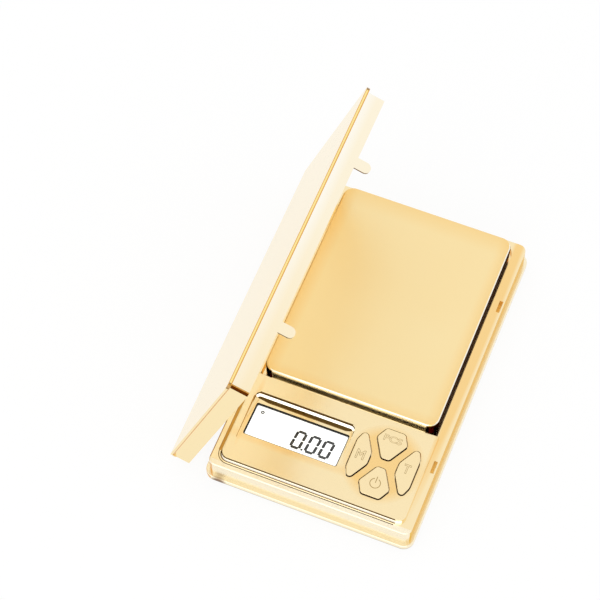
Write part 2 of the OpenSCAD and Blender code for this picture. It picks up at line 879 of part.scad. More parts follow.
// sliding door with tongues along its sides and grip grooves
module battery_door() {
  color("gold")
  difference() {
    union() {
      box(-door_x, door_x, door_y0, half_l - 0.1, 0, door_t);
      box(-door_x - tongue_w, door_x + tongue_w, door_y0, half_l - 1, tongue_z0, tongue_z1);
    }
    for (i = [1 : grip_n])
      box(-grip_x, grip_x, half_l - (2 * i + 1) * grip_w, half_l - 2 * i * grip_w, -e, grip_t);
  }
}

module batteries() {
  color("dimgray")
  for (s = [-1, 1])
    translate([0, s > 0 ? battery_y1 : battery_y2, battery_z]) rotate([0, 90 * s, 0])
      translate([0, 0, -battery_l / 2]) {
        cylinder(h = battery_l - nub_l, r = battery_d / 2, $fn = circle_fn);
        cylinder(h = battery_l, r = nub_r, $fn = circle_fn);
      }
}

// end plates with their cones; the left one joins both batteries
module battery_contacts() {
  z0 = tray_t + 0.3;
  z1 = bay_top - 0.3;
  half = battery_d / 2 - 0.8;
  color("silver") {
    box(-bay_x, -bay_x + contact_t, battery_y1 - half, battery_y2 + half, z0, z1);
    for (y = [battery_y1, battery_y2]) {
      box(bay_x - contact_t, bay_x, y - half, y + half, z0, z1);
      for (s = [-1, 1])
        translate([s * (bay_x - contact_t), y, battery_z]) rotate([0, -90 * s, 0])
          cylinder(h = ends_l, r1 = spring_r, r2 = spring_tip, $fn = circle_fn);
    }
  }
}

module case_screws() {
  color("silver")
  for (x = [-foot_x, foot_x], y = [-foot_y, foot_y]) {
    post(x, y, case_head_z, case_head_z + case_head_h, case_head_r);
    post(x, y, case_head_z, case_screw_top, case_screw_d / 2);
  }
}

// soft pads over the case screws
module feet() {
  color("dimgray")
  for (x = [-foot_x, foot_x], y = [-foot_y, foot_y])
    translate([x, y, -foot_h]) {
      cylinder(h = 0.3, r1 = foot_d / 2 - 0.3, r2 = foot_d / 2, $fn = circle_fn);
      translate([0, 0, 0.3 - e]) cylinder(h = foot_h + foot_in - 0.3 + e, r = foot_d / 2, $fn = circle_fn);
    }
}

base_tray();
top_case();
cover();
hinge_pins();
platform_tray();
platform_carrier();
carrier_screws();
load_cell();
cell_screws();
overload_screw();
circuit_board();
board_screws();
controller();
key_switches();
lcd_module();
lcd_connector();
lcd_window();
button_mode();
button_pieces();
button_tare();
button_power();
battery_door();
batteries();
battery_contacts();
case_screws();
feet();
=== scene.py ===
import math
import bpy
import bmesh
from mathutils import Matrix, Vector


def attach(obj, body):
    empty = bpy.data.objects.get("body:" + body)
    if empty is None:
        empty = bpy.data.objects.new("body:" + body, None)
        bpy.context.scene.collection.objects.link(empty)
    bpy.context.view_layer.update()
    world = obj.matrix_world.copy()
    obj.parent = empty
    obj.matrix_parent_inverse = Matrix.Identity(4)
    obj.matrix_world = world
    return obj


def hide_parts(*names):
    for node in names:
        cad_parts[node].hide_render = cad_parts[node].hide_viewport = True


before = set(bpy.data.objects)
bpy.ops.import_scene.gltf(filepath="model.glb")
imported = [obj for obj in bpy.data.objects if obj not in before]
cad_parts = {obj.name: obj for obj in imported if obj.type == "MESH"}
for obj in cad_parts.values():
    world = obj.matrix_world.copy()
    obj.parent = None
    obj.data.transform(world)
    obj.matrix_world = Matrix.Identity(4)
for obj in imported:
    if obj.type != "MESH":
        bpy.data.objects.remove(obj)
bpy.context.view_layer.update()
mm = 0.001
rad = math.radians
scene = bpy.context.scene
print("frame loaded")


# shapes, in millimetres until they become objects

def block(x0, x1, y0, y1, z0, z1):
    bm = bmesh.new()
    place = Matrix.Translation(((x0 + x1) / 2, (y0 + y1) / 2, (z0 + z1) / 2))
    size = Matrix.Diagonal((x1 - x0, y1 - y0, z1 - z0, 1))
    bmesh.ops.create_cube(bm, size=1, matrix=place @ size)
    return bm


def bevelThese(bm, edges, offset, segments):
    if offset > 0 and edges:
        bmesh.ops.bevel(bm, geom=edges, offset=offset, offset_type="OFFSET", affect="EDGES",
                        segments=segments, profile=0.5, material=-1, clamp_overlap=True)


def uprightEdges(bm, keep=None):
    found = []
    for edge in bm.edges:
        a, b = edge.verts[0].co, edge.verts[1].co
        if abs(a.x - b.x) < 1e-4 and abs(a.y - b.y) < 1e-4 and (keep is None or keep(a)):
            found.append(edge)
    return found


def rimEdges(bm, z, keep=None):
    found = []
    for edge in bm.edges:
        a, b = edge.verts[0].co, edge.verts[1].co
        if abs(a.z - z) < 1e-4 and abs(b.z - z) < 1e-4 and (keep is None or keep((a + b) / 2)):
            found.append(edge)
    return found


def softBlock(box, corner=0.0, top=0.0, bottom=0.0, cornerSteps=10, steps=4, keep=None):
    bm = block(*box)
    bevelThese(bm, uprightEdges(bm, keep), corner, cornerSteps)
    bevelThese(bm, rimEdges(bm, box[5]), top, steps)
    bevelThese(bm, rimEdges(bm, box[4]), bottom, steps)
    return bm


def outlineBlock(points, z0, z1, round=0.0, roundSteps=6, top=0.0, steps=3):
    bm = bmesh.new()
    face = bm.faces.new([bm.verts.new((x, y, z0)) for x, y in points])
    bm.normal_update()
    if face.normal.z < 0:
        face.normal_flip()
    made = bmesh.ops.extrude_face_region(bm, geom=[face])
    bmesh.ops.translate(bm, vec=(0, 0, z1 - z0),
                        verts=[v for v in made["geom"] if isinstance(v, bmesh.types.BMVert)])
    bmesh.ops.recalc_face_normals(bm, faces=bm.faces)
    bevelThese(bm, uprightEdges(bm), round, roundSteps)
    bevelThese(bm, rimEdges(bm, z1), top, steps)
    return bm


def rod(x, y, z0, z1, radius, segments=48):
    bm = bmesh.new()
    bmesh.ops.create_cone(bm, cap_ends=True, segments=segments, radius1=radius, radius2=radius,
                          depth=z1 - z0, matrix=Matrix.Translation((x, y, (z0 + z1) / 2)))
    return bm


def turned(bm, matrix):
    bmesh.ops.transform(bm, matrix=matrix, verts=bm.verts)
    return bm


def placed(bm, x, y, z, degrees=0, axis="Z"):
    return turned(bm, Matrix.Translation((x, y, z)) @ Matrix.Rotation(rad(degrees), 4, axis))


def meshOf(bm, name):
    mesh = bpy.data.meshes.new(name)
    bm.to_mesh(mesh)
    bm.free()
    return mesh


def newObject(name, data):
    made = bpy.data.objects.new(name, data)
    scene.collection.objects.link(made)
    return made


def discard(thing):
    mesh = thing.data
    bpy.data.objects.remove(thing)
    bpy.data.meshes.remove(mesh)


def joined(*parts):
    whole = bmesh.new()
    for bm in parts:
        mesh = meshOf(bm, "part")
        whole.from_mesh(mesh)
        bpy.data.meshes.remove(mesh)
    return whole


def toObject(bm, name):
    bmesh.ops.scale(bm, vec=(mm, mm, mm), verts=bm.verts)
    bmesh.ops.recalc_face_normals(bm, faces=bm.faces)
    return newObject(name, meshOf(bm, name))


def settle(made):
    view = bpy.context.evaluated_depsgraph_get()
    view.update()
    fresh = bpy.data.meshes.new_from_object(made.evaluated_get(view))
    old = made.data
    made.modifiers.clear()
    made.data = fresh
    fresh.name = made.name
    bpy.data.meshes.remove(old)


def carve(made, bm, how="DIFFERENCE"):
    cutter = toObject(bm, "cutter")
    step = made.modifiers.new("carve", "BOOLEAN")
    step.operation = how
    step.solver = "EXACT"
    step.object = cutter
    settle(made)
    discard(cutter)


def smooth(made, angle=32):
    made.data.shade_smooth()
    made.data.set_sharp_from_angle(angle=rad(angle))
    even = made.modifiers.new("even", "WEIGHTED_NORMAL")
    even.mode = "FACE_AREA"
    even.weight = 100
    even.keep_sharp = True


# materials

goldGrain = dict(toneDetail=2.0, scuffScale=900, scuffDetail=4.0, scuffRough=0.6,
                 waveDetail=1.0, waveDepth=0.001)
plainGrain = dict(detail=4.0, rough=0.6, depth=0.0002)


def newMaterial(name):
    made = bpy.data.materials.new(name)
    made.use_nodes = True
    tree = made.node_tree
    return made, tree, tree.nodes["Principled BSDF"]


def bareMaterial(name):
    made = bpy.data.materials.new(name)
    made.use_nodes = True
    tree = made.node_tree
    tree.nodes.clear()
    return made, tree, tree.nodes.new("ShaderNodeOutputMaterial").inputs["Surface"]


def objectCoords(tree):
    return tree.nodes.new("ShaderNodeTexCoord").outputs["Object"]


def noise(tree, scale, detail, rough=0.5):
    made = tree.nodes.new("ShaderNodeTexNoise")
    made.inputs["Scale"].default_value = scale
    made.inputs["Detail"].default_value = detail
    made.inputs["Roughness"].default_value = rough
    tree.links.new(objectCoords(tree), made.inputs["Vector"])
    return made


def mapped(tree, source, low, high, fromLow=0.3, fromHigh=0.7):
    made = tree.nodes.new("ShaderNodeMapRange")
    made.inputs["From Min"].default_value = fromLow
    made.inputs["From Max"].default_value = fromHigh
    made.inputs["To Min"].default_value = low
    made.inputs["To Max"].default_value = high
    tree.links.new(source, made.inputs["Value"])
    return made.outputs["Result"]


def mixed(tree, fac, a, b):
    made = tree.nodes.new("ShaderNodeMix")
    made.data_type = "RGBA"
    made.inputs[6].default_value = (*a, 1)
    made.inputs[7].default_value = (*b, 1)
    tree.links.new(fac, made.inputs["Factor"])
    return made.outputs[2]


def bumped(tree, height, strength, distance):
    made = tree.nodes.new("ShaderNodeBump")
    made.inputs["Strength"].default_value = strength
    made.inputs["Distance"].default_value = distance
    tree.links.new(height, made.inputs["Height"])
    return made.outputs["Normal"]


def zoned(tree, color, zone):
    shift = tree.nodes.new("ShaderNodeVectorMath")
    shift.operation = "SUBTRACT"
    shift.inputs[1].default_value = [v * mm for v in zone["at"]]
    tree.links.new(objectCoords(tree), shift.inputs[0])
    flat = tree.nodes.new("ShaderNodeVectorMath")
    flat.operation = "MULTIPLY"
    flat.inputs[1].default_value = zone["axes"]
    tree.links.new(shift.outputs["Vector"], flat.inputs[0])
    far = tree.nodes.new("ShaderNodeVectorMath")
    far.operation = "LENGTH"
    tree.links.new(flat.outputs["Vector"], far.inputs[0])
    share = mapped(tree, far.outputs["Value"], zone["share"], 0, zone["near"] * mm, zone["far"] * mm)
    made = tree.nodes.new("ShaderNodeMix")
    made.data_type = "RGBA"
    tree.links.new(share, made.inputs["Factor"])
    tree.links.new(color, made.inputs[6])
    made.inputs[7].default_value = (*zone["color"], 1)
    return made.outputs[2]


def glowing(made, shader, color, strength):
    shader.inputs["Emission Color"].default_value = (*color, 1)
    shader.inputs["Emission Strength"].default_value = strength
    made.cycles.emission_sampling = "NONE"


def gold(name, look):
    made, tree, shader = newMaterial(name)
    shader.inputs["Metallic"].default_value = 1.0
    tone = noise(tree, look["toneScale"], goldGrain["toneDetail"])
    color = mixed(tree, mapped(tree, tone.outputs["Fac"], 0, 1), look["color"], look["deep"])
    for zone in look.get("zones", ()):
        color = zoned(tree, color, zone)
    tree.links.new(color, shader.inputs["Base Color"])
    scuff = noise(tree, goldGrain["scuffScale"], goldGrain["scuffDetail"], goldGrain["scuffRough"])
    rough = mapped(tree, scuff.outputs["Fac"], *look["rough"])
    if "satin" in look:
        split = tree.nodes.new("ShaderNodeSeparateXYZ")
        tree.links.new(objectCoords(tree), split.inputs["Vector"])
        for axis, low, high, atLow, atHigh in look["satin"]:
            lift = mapped(tree, split.outputs[axis], atLow, atHigh, low * mm, high * mm)
            total = tree.nodes.new("ShaderNodeMath")
            total.operation = "ADD"
            tree.links.new(rough, total.inputs[0])
            tree.links.new(lift, total.inputs[1])
            rough = total.outputs["Value"]
    tree.links.new(rough, shader.inputs["Roughness"])
    if "edgeTint" in look:
        shader.inputs["Specular Tint"].default_value = (*look["edgeTint"], 1)
    if "glow" in look:
        glowing(made, shader, look["color"], look["glow"])
    wave = noise(tree, look["waveScale"], goldGrain["waveDetail"])
    tree.links.new(bumped(tree, wave.outputs["Fac"], look["wave"], goldGrain["waveDepth"]),
                   shader.inputs["Normal"])
    return made


def plain(name, look):
    made, tree, shader = newMaterial(name)
    grain = noise(tree, look["scale"], plainGrain["detail"], plainGrain["rough"])
    tree.links.new(mixed(tree, mapped(tree, grain.outputs["Fac"], 0, 1), look["color"], look["deep"]),
                   shader.inputs["Base Color"])
    tree.links.new(mapped(tree, grain.outputs["Fac"], *look["rough"]), shader.inputs["Roughness"])
    shader.inputs["Metallic"].default_value = look.get("metal", 0.0)
    shader.inputs["Specular IOR Level"].default_value = look.get("shine", 0.5)
    if "glow" in look:
        glowing(made, shader, (1, 1, 1), look["glow"])
    tree.links.new(bumped(tree, grain.outputs["Fac"], look.get("bump", 0.1), plainGrain["depth"]),
                   shader.inputs["Normal"])
    return made


def wear(thing, material):
    thing.data.materials.clear()
    thing.data.materials.append(material)


# chosen is asked with the middle of each face in millimetres and its normal; the chosen faces take a second
# material, here painted shade, painted highlights, painted glow and painted reflections
def accent(thing, material, chosen):
    thing.data.materials.append(material)
    slot = len(thing.data.materials) - 1
    for face in thing.data.polygons:
        if chosen(face.center / mm, face.normal):
            face.material_index = slot


# large faces become triangles, so that an accent can take a part of them
def splitFlats(made):
    bm = bmesh.new()
    bm.from_mesh(made.data)
    bmesh.ops.triangulate(bm, faces=[face for face in bm.faces if len(face.verts) > 4])
    bm.to_mesh(made.data)
    bm.free()


def dress(name, material):
    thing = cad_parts[name]
    for one in thing.material_slots:
        one.material = material


# amber for painted shade and painted reflection in the gold
amberShadeAndReflection = (0.93, 0.56, 0.14)
# case gold with painted amber shade and reflection round the key cluster, along the recess's front and left
# edges and along the deck's right edge, and a pale painted highlight along the ledge's front
caseGold = gold("caseGold", dict(color=(0.96, 0.8, 0.5), deep=(0.955, 0.785, 0.47), toneScale=18,
                                 rough=(0.1, 0.13), wave=0.006, waveScale=60,
                                 satin=[("Z", 11.7, 11.98, 0, 0.12), ("Y", -58.9, -58.3, 0.25, 0)],
                                 zones=[dict(at=(19.7, -40.2, 12), axes=(1, 0.95, 0), near=10.5, far=14.5,
                                             share=0.6, color=amberShadeAndReflection),
                                        dict(at=(-12.3, -47.6, 12), axes=(0.06, 1, 0), near=0.6, far=2.6,
                                             share=0.4, color=amberShadeAndReflection),
                                        dict(at=(34.5, 25, 0), axes=(1, 0.03, 0), near=1.5, far=2.5,
                                             share=0.6, color=amberShadeAndReflection),
                                        dict(at=(0, -60.3, 10), axes=(0, 1, 0.3), near=1.2, far=1.5,
                                             share=0.7, color=(0.985, 0.92, 0.76)),
                                        dict(at=(-30.4, -38, 11), axes=(1, 0.09, 0), near=0.5, far=1.4,
                                             share=0.45, color=amberShadeAndReflection)]))
# tray gold with dark brown painted shade at its front left corner
trayGold = gold("trayGold", dict(color=(0.965, 0.86, 0.64), deep=(0.96, 0.85, 0.61), toneScale=18,
                                 rough=(0.2, 0.25), wave=0.006, waveScale=60,
                                 zones=[dict(at=(-32.6, -62.3, 1.2), axes=(0.6, 1, 1), near=0.7, far=1.8,
                                             share=0.85, color=(0.22, 0.1, 0.02))]))
# tray gold for the flange's sides, with painted shade darkening towards the foot and dark brown painted shade
# at the front left corner
flangeShadeGold = gold("flangeShadeGold", dict(color=(0.965, 0.86, 0.64), deep=(0.96, 0.85, 0.61), toneScale=18,
                                 rough=(0.2, 0.25), wave=0.006, waveScale=60,
                                 zones=[dict(at=(0, 0, 0), axes=(0, 0, 1), near=0.4, far=0.75,
                                             share=0.7, color=(0.2, 0.16, 0.11)),
                                        dict(at=(-32.6, -62.3, 1.0), axes=(0.6, 1, 1), near=0.8, far=1.9,
                                             share=0.9, color=(0.16, 0.06, 0.01))]))
# paler copy of the gold for painted highlights on the platform's edges and the latch slots' walls
paleHighlightGold = gold("paleHighlightGold", dict(color=(0.985, 0.93, 0.8), deep=(0.98, 0.92, 0.77), toneScale=40,
                                 rough=(0.22, 0.28), wave=0.01, waveScale=200))
# pale gold inside the cover with a painted glow that lifts the shade there and in its reflections
insideGlowGold = gold("insideGlowGold", dict(color=(0.99, 0.945, 0.84), deep=(0.985, 0.935, 0.82), toneScale=20,
                                     rough=(0.5, 0.57), wave=0.01, waveScale=200, glow=0.1))
# glowing pale gold for painted highlights on the cove and the panel's front wall
whiteEdge = gold("whiteEdge", dict(color=(0.99, 0.95, 0.85), deep=(0.985, 0.94, 0.82), toneScale=40,
                                   rough=(0.25, 0.3), wave=0.01, waveScale=200, glow=0.8))
coverGold = gold("coverGold", dict(color=(0.957, 0.785, 0.45), deep=(0.953, 0.77, 0.42), toneScale=14,
                                   rough=(0.1, 0.14), wave=0.01, waveScale=50))
# lighter copy of the cover gold for the free edge's strip, a painted highlight, with a paler painted
# highlight band and more amber towards the front end
stripHighlightGold = gold("stripHighlightGold", dict(color=(0.985, 0.9, 0.72), deep=(0.98, 0.885, 0.68), toneScale=14,
                                   rough=(0.1, 0.14), wave=0.01, waveScale=50,
                                   zones=[dict(at=(-27, 0, 0), axes=(1, 0, 0), near=1.5, far=4.5,
                                               share=0.75, color=(0.995, 0.965, 0.89)),
                                          dict(at=(0, -66, 0), axes=(0, 1, 0), near=5, far=75,
                                               share=0.4, color=(0.95, 0.74, 0.36))]))
# platform gold with painted amber reflection and shade along its left, right, back and front edges
satinGold = gold("satinGold", dict(color=(0.955, 0.77, 0.42), deep=(0.95, 0.755, 0.4), toneScale=30,
                                   rough=(0.05, 0.08), wave=0.012, waveScale=300,
                                   satin=[("Z", 14.5, 14.9, 0, 0.3)],
                                   zones=[dict(at=(-34.5, 18, 15), axes=(1, 0, 0), near=1.5, far=8,
                                               share=0.7, color=amberShadeAndReflection),
                                          dict(at=(33.5, 18, 15), axes=(1, 0, 0), near=1, far=6,
                                               share=0.42, color=amberShadeAndReflection),
                                          dict(at=(0, 60, 15), axes=(0, 1, 0), near=1, far=9,
                                               share=0.4, color=amberShadeAndReflection),
                                          dict(at=(0, -23, 15), axes=(0, 1, 0), near=1, far=5,
                                               share=0.32, color=amberShadeAndReflection)]))
keyGold = gold("keyGold", dict(color=(0.955, 0.79, 0.48), deep=(0.95, 0.77, 0.45), toneScale=40,
                               rough=(0.05, 0.08), wave=0.02, waveScale=500,
                               satin=[("Z", 12.35, 12.55, 0, 0.14)]))
engraved = gold("engraved", dict(color=(0.5, 0.34, 0.14), deep=(0.4, 0.27, 0.1), toneScale=200,
                                 rough=(0.2, 0.3), wave=0.02, waveScale=700))
# darker copies of the gold for painted shade and painted dark reflections along edges, walls, grooves and the
# cove
amberShadeLine = gold("amberShadeLine", dict(color=(0.8, 0.42, 0.08), deep=(0.74, 0.37, 0.06), toneScale=60,
                                   rough=(0.12, 0.2), wave=0.02, waveScale=300))
ochreShadeLine = gold("ochreShadeLine", dict(color=(0.58, 0.3, 0.06), deep=(0.5, 0.25, 0.05), toneScale=60,
                                   rough=(0.12, 0.2), wave=0.02, waveScale=300))
brownShadeLine = gold("brownShadeLine", dict(color=(0.4, 0.25, 0.1), deep=(0.35, 0.21, 0.08), toneScale=60,
                                   rough=(0.15, 0.25), wave=0.02, waveScale=300))
deepShadeBrown = gold("deepShadeBrown", dict(color=(0.2, 0.115, 0.03), deep=(0.16, 0.09, 0.02), toneScale=60,
                                   rough=(0.12, 0.2), wave=0.02, waveScale=300))
paintedDarkShade = gold("paintedDarkShade", dict(color=(0.09, 0.05, 0.012), deep=(0.13, 0.075, 0.02), toneScale=90,
                                 rough=(0.1, 0.16), wave=0.02, waveScale=300, edgeTint=(0.12, 0.07, 0.02)))
# deeper yellow copy of the gold for the cover's lip, a painted reflection
lipReflectionGold = gold("lipReflectionGold", dict(color=(0.99, 0.8, 0.34), deep=(0.985, 0.78, 0.31), toneScale=30,
                               rough=(0.12, 0.18), wave=0.01, waveScale=100))
# dark red brown painted shade for the platform's right side and the rim's front corner
sideShadeBrown = gold("sideShadeBrown", dict(color=(0.09, 0.02, 0.001), deep=(0.08, 0.016, 0.001),
                                   toneScale=90, rough=(0.25, 0.35), wave=0.02, waveScale=300,
                                   edgeTint=(0.14, 0.03, 0.0)))
# darker orange copy of the gold for the case's right wall, painted shade
wallShadeGold = gold("wallShadeGold", dict(color=(0.89, 0.65, 0.25), deep=(0.87, 0.61, 0.22), toneScale=30,
                                 rough=(0.12, 0.18), wave=0.006, waveScale=60,
                                 edgeTint=(0.92, 0.74, 0.36)))
print("gold materials ready")


# heights that cutters reach, beyond all that they cut
above = 14
below = -1

# hinge axis with its pins, and the notches for the cover's lugs
hinge = dict(x=-35.5, y=34, z=1.3, pinR=0.75, pinHalf=8, half=6.3, notchX=-33.4)


# base tray with its flange

tray = dict(x=38.5, y=62.5, top=2.2, corner=4.0, edge=0.45, under=0.3, headX=32.15, headY=56,
            headR=2.0, headTop=1.4, cellY=(-11.3, -6.3), cellR=2.9, cellTop=1.2, stopY=28.7, stopR=1.5)
doorWay = dict(x=25.0, rail=25.8, railZ=0.45, y0=32.25, y1=64, z=1.3,
               bayX=23.85, bayY0=33.6, bayY1=55.5)

baseTray = toObject(softBlock((-tray["x"], tray["x"], -tray["y"], tray["y"], 0, tray["top"]),
                              tray["corner"], tray["edge"], tray["under"], 12, 4), "base_tray_soft")
for side in (-1, 1):
    y = side * hinge["y"]
    carve(baseTray, block(-40, hinge["notchX"], y - hinge["half"], y + hinge["half"], below, 3))
    carve(baseTray, placed(rod(0, 0, -hinge["pinHalf"], hinge["pinHalf"], hinge["pinR"]),
                           hinge["x"], y, hinge["z"], 90, "X"))
for half, z in ((doorWay["x"], below), (doorWay["rail"], doorWay["railZ"])):
    carve(baseTray, block(-half, half, doorWay["y0"], doorWay["y1"], z, doorWay["z"]))
carve(baseTray, block(-doorWay["bayX"], doorWay["bayX"], doorWay["bayY0"], doorWay["bayY1"], below, 3))
for x in (-tray["headX"], tray["headX"]):
    for y in (-tray["headY"], tray["headY"]):
        carve(baseTray, rod(x, y, below, tray["headTop"], tray["headR"]))
for y in tray["cellY"]:
    carve(baseTray, rod(0, y, below, tray["cellTop"], tray["cellR"]))
carve(baseTray, rod(0, tray["stopY"], below, 3, tray["stopR"]))
smooth(baseTray)
wear(baseTray, trayGold)


def footEdge(c, n):
    return 0 < c.z < 1.9 and abs(n.z) < 0.6 and (abs(c.y) > 58 or abs(c.x) > 34)


# painted shade on the flange's sides, and amber painted shade on the walls at the front left corner
accent(baseTray, flangeShadeGold, footEdge)
accent(baseTray, amberShadeLine,
       lambda c, n: 0.3 < c.z < 2.0 and abs(n.z) < 0.5 and n.x < -0.3 and n.y < -0.3)
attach(baseTray, "base")
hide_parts("base_tray")
print("base tray made")


# top case: shoulder, display panel, well, recess and openings

case = dict(x=37.2, y0=-61.2, y1=61.5, z0=2.2, shoulder=10.0, corner=2.7, edge=0.6,
            panelX=33.9, panelY0=-58.2, panelY1=-23.2, panelZ=12.0, panelCorner=3.0, panelEdge=0.5,
            lines=(dict(offset=-0.6, width=1.04, x1=31, y1=-54.9),
                   dict(offset=0.88, width=0.28, x1=30.6, y1=-54.9)),
            sideLine=dict(out=1.35, over=1, y0=-55.2, y1=-24.9), lineDeep=0.25,
            wellX=33.1, wellY1=59.8, wellZ=8.0, wellCorner=4.8,
            slotX=(35.4, 36.7), slotHalf=2.4, slotZ=4, strapX=-35.7, lugTop=3.4)
recess = dict(x0=-31.1, x1=6.0, y0=-49.3, length=math.hypot(18.9, 1.8), deep=4,
              fall=math.degrees(math.atan(1.8 / 18.9)), cove=1.7, corner=1.75,
              gutterNear=16.75, gutterFar=17.4, lineDeep=0.12, backDeep=0.15,
              windowX0=-29.45, windowX1=4.85, windowY0=2.385, windowY1=15.485,
              pane=0.8, gap=0.2, lip=1.0, pocketCorner=0.7, paneCorner=0.6)
cluster = dict(x=19.7, y=-40.2, gap=0.3, round=0.7, rise=12.6, reach=13.95, floor=5.8, roof=10.4)
tallKey = [(-1.5, 1.7), (1.5, 1.7), (5.6, 8.9), (3.4, 13.1), (-3.4, 13.1), (-5.6, 8.9)]
wideKey = [(5.1, -2.3), (8.7, -8.7), (10.3, -8.7), (11.6, -5.5),
           (11.6, 5.5), (10.3, 8.7), (8.7, 8.7), (5.1, 2.3)]
keys = {
    "button_pieces": tallKey,
    "button_power": [(x, -y) for x, y in tallKey],
    "button_tare": wideKey,
    "button_mode": [(-x, y) for x, y in wideKey],
}
slope = (Matrix.Translation((0, recess["y0"], case["panelZ"]))
         @ Matrix.Rotation(rad(-recess["fall"]), 4, "X"))
unslope = slope.inverted()


# outline moved outwards by the same distance all round
def grown(points, by):
    count = len(points)
    pairs = [(Vector(points[i]), Vector(points[(i + 1) % count])) for i in range(count)]
    sign = 1 if sum(a.x * b.y - b.x * a.y for a, b in pairs) > 0 else -1
    lines = []
    for a, b in pairs:
        along = (b - a).normalized()
        out = Vector((along.y, -along.x)) * sign
        lines.append((a + out * by, along))
    made = []
    for i in range(count):
        (p, u), (q, v) = lines[i - 1], lines[i]
        cross = u.x * v.y - u.y * v.x
        t = ((q.x - p.x) * v.y - (q.y - p.y) * v.x) / cross
        made.append((p.x + u.x * t, p.y + u.y * t))
    return made


# band along the panel's front and round its left corner
def lineStrip(offset, width, x1, y1):
    middle = (-case["panelX"] + case["panelCorner"], case["panelY0"] + case["panelCorner"])
    sides = []
    for out in (offset + width, offset):
        radius = case["panelCorner"] + out
        side = [(x1, middle[1] - radius)]
        side += [(middle[0] - radius * math.sin(rad(9 * i)), middle[1] - radius * math.cos(rad(9 * i)))
                 for i in range(11)]
        sides.append(side + [(middle[0] - radius, y1)])
    return sides[0] + sides[1][::-1]


# block on the recess floor, larger than the window by grow: left, right, front and back
def windowBlock(grow, z0, z1, corner=0.0, top=0.0, steps=4):
    box = (recess["windowX0"] - grow[0], recess["windowX1"] + grow[1],
           recess["windowY0"] - grow[2], recess["windowY1"] + grow[3], z0, z1)
    return turned(softBlock(box, corner, top, 0, 5, steps), slope)


topCase = toObject(softBlock((-case["x"], case["x"], case["y0"], case["y1"], case["z0"], case["shoulder"]),
                             case["corner"], case["edge"], 0, 10, 5), "top_case_soft")
# shallow grooves along the panel's front and left side, later painted with dark lines of shade and reflection
lineZ = case["shoulder"] - case["lineDeep"]
for line in case["lines"]:
    carve(topCase, outlineBlock(lineStrip(**line), lineZ, above))
sideLine = case["sideLine"]
carve(topCase, block(-case["panelX"] - sideLine["out"], -case["panelX"] + sideLine["over"],
                     sideLine["y0"], sideLine["y1"], lineZ, above))
panelBlock = softBlock((-case["panelX"], case["panelX"], case["panelY0"], case["panelY1"], 6, case["panelZ"]),
                       case["panelCorner"], case["panelEdge"], 0, 10, 4, keep=lambda p: p.y < -40)
carve(topCase, panelBlock, "UNION")
well = softBlock((-case["wellX"], case["wellX"], case["panelY1"], case["wellY1"], case["wellZ"], above),
                 case["wellCorner"], 0, 0, 12, keep=lambda p: p.y > 0)
carve(topCase, well)
print("case body and well made")

wedge = softBlock((recess["x0"], recess["x1"], 0, recess["length"], 0, recess["deep"]),
                  recess["corner"], 0, 0, 6, keep=lambda p: p.y > 5)
coveFrom = recess["length"] - recess["corner"] - 0.01
bevelThese(wedge, rimEdges(wedge, 0, keep=lambda p: p.y > coveFrom), recess["cove"], 8)
carve(topCase, turned(wedge, slope))
# shallow grooves at the foot of the recess's back wall, along its left side and at its back edge, later
# painted with dark shade
gutter = [(recess["x0"] + 1.6, recess["gutterFar"]), (recess["x0"] + 5, recess["gutterNear"]),
          (recess["x1"] - 3, recess["gutterNear"]), (recess["x1"] - 1.2, recess["gutterFar"])]
carve(topCase, turned(outlineBlock(gutter, -recess["lineDeep"], 1), slope))
backEdge = recess["y0"] + recess["length"] * math.cos(rad(recess["fall"]))
leftLine = [(recess["x0"] - 0.34, backEdge - 1.7), (recess["x0"] + 0.1, backEdge - 1.7),
            (recess["x0"] + 0.1, recess["y0"]), (recess["x0"] - 0.08, recess["y0"])]
carve(topCase, outlineBlock(leftLine, case["panelZ"] - recess["lineDeep"], above))
carve(topCase, block(recess["x0"] + 1.2, recess["x1"] - 1.2, backEdge - 0.5, backEdge + 0.45,
                     case["panelZ"] - recess["backDeep"], above))
gapped = [recess["gap"]] * 4
carve(topCase, windowBlock(gapped, -recess["pane"], 1, recess["pocketCorner"]))
carve(topCase, windowBlock((1.5, 1.5, 1, 1), -4, -1.2))
carve(topCase, windowBlock([-recess["lip"]] * 4, -2, 0))
carve(topCase, rod(cluster["x"], cluster["y"], cluster["floor"], cluster["roof"], cluster["reach"], 64))
for points in keys.values():
    hole = outlineBlock(grown(points, cluster["gap"]), 9, above, cluster["round"] + cluster["gap"])
    carve(topCase, placed(hole, cluster["x"], cluster["y"], 0))
for side in (-1, 1):
    y = side * hinge["y"]
    y0, y1 = y - hinge["half"], y + hinge["half"]
    carve(topCase, block(*case["slotX"], y - case["slotHalf"], y + case["slotHalf"], case["slotZ"], 11))
    carve(topCase, block(-39, case["strapX"], y0, y1, 1, 11))
    carve(topCase, block(-39, hinge["notchX"], y0, y1, 1, case["lugTop"]))
splitFlats(topCase)
smooth(topCase)
wear(topCase, caseGold)


def fromCorner(c):
    return math.dist((c.x, c.y), (max(min(c.x, 31), -30.9), -55.2))


def panelShadeFaces(c, n):
    onRound = 11.5 < c.z < 11.985 and 0.12 < n.z < 0.95 and c.y < -54 and n.y < -0.1 and c.x < 31
    inGroove = 9.7 < c.z < 9.99 and c.y < -54.8 and 2.9 < fromCorner(c) < 3.48
    return onRound or inGroove


def inCove(c):
    return recess["x0"] + 0.25 < c.x < recess["x1"] - 0.25 and -33.5 < c.y < -30 and c.z < 11.995


def coveShadeFaces(c, n):
    return inCove(c) and (-0.1 < n.z < 0.45 or (n.z > 0.88 and n.y < 0.05))


def inGutter(c, n):
    local = unslope @ c
    atFoot = 16.6 < local.y < 17.5 and -0.2 < local.z < -0.02
    atTop = 11.7 < c.z < 11.96 and -30.5 < c.y < -29.9 and recess["x0"] < c.x < recess["x1"]
    return atFoot or atTop


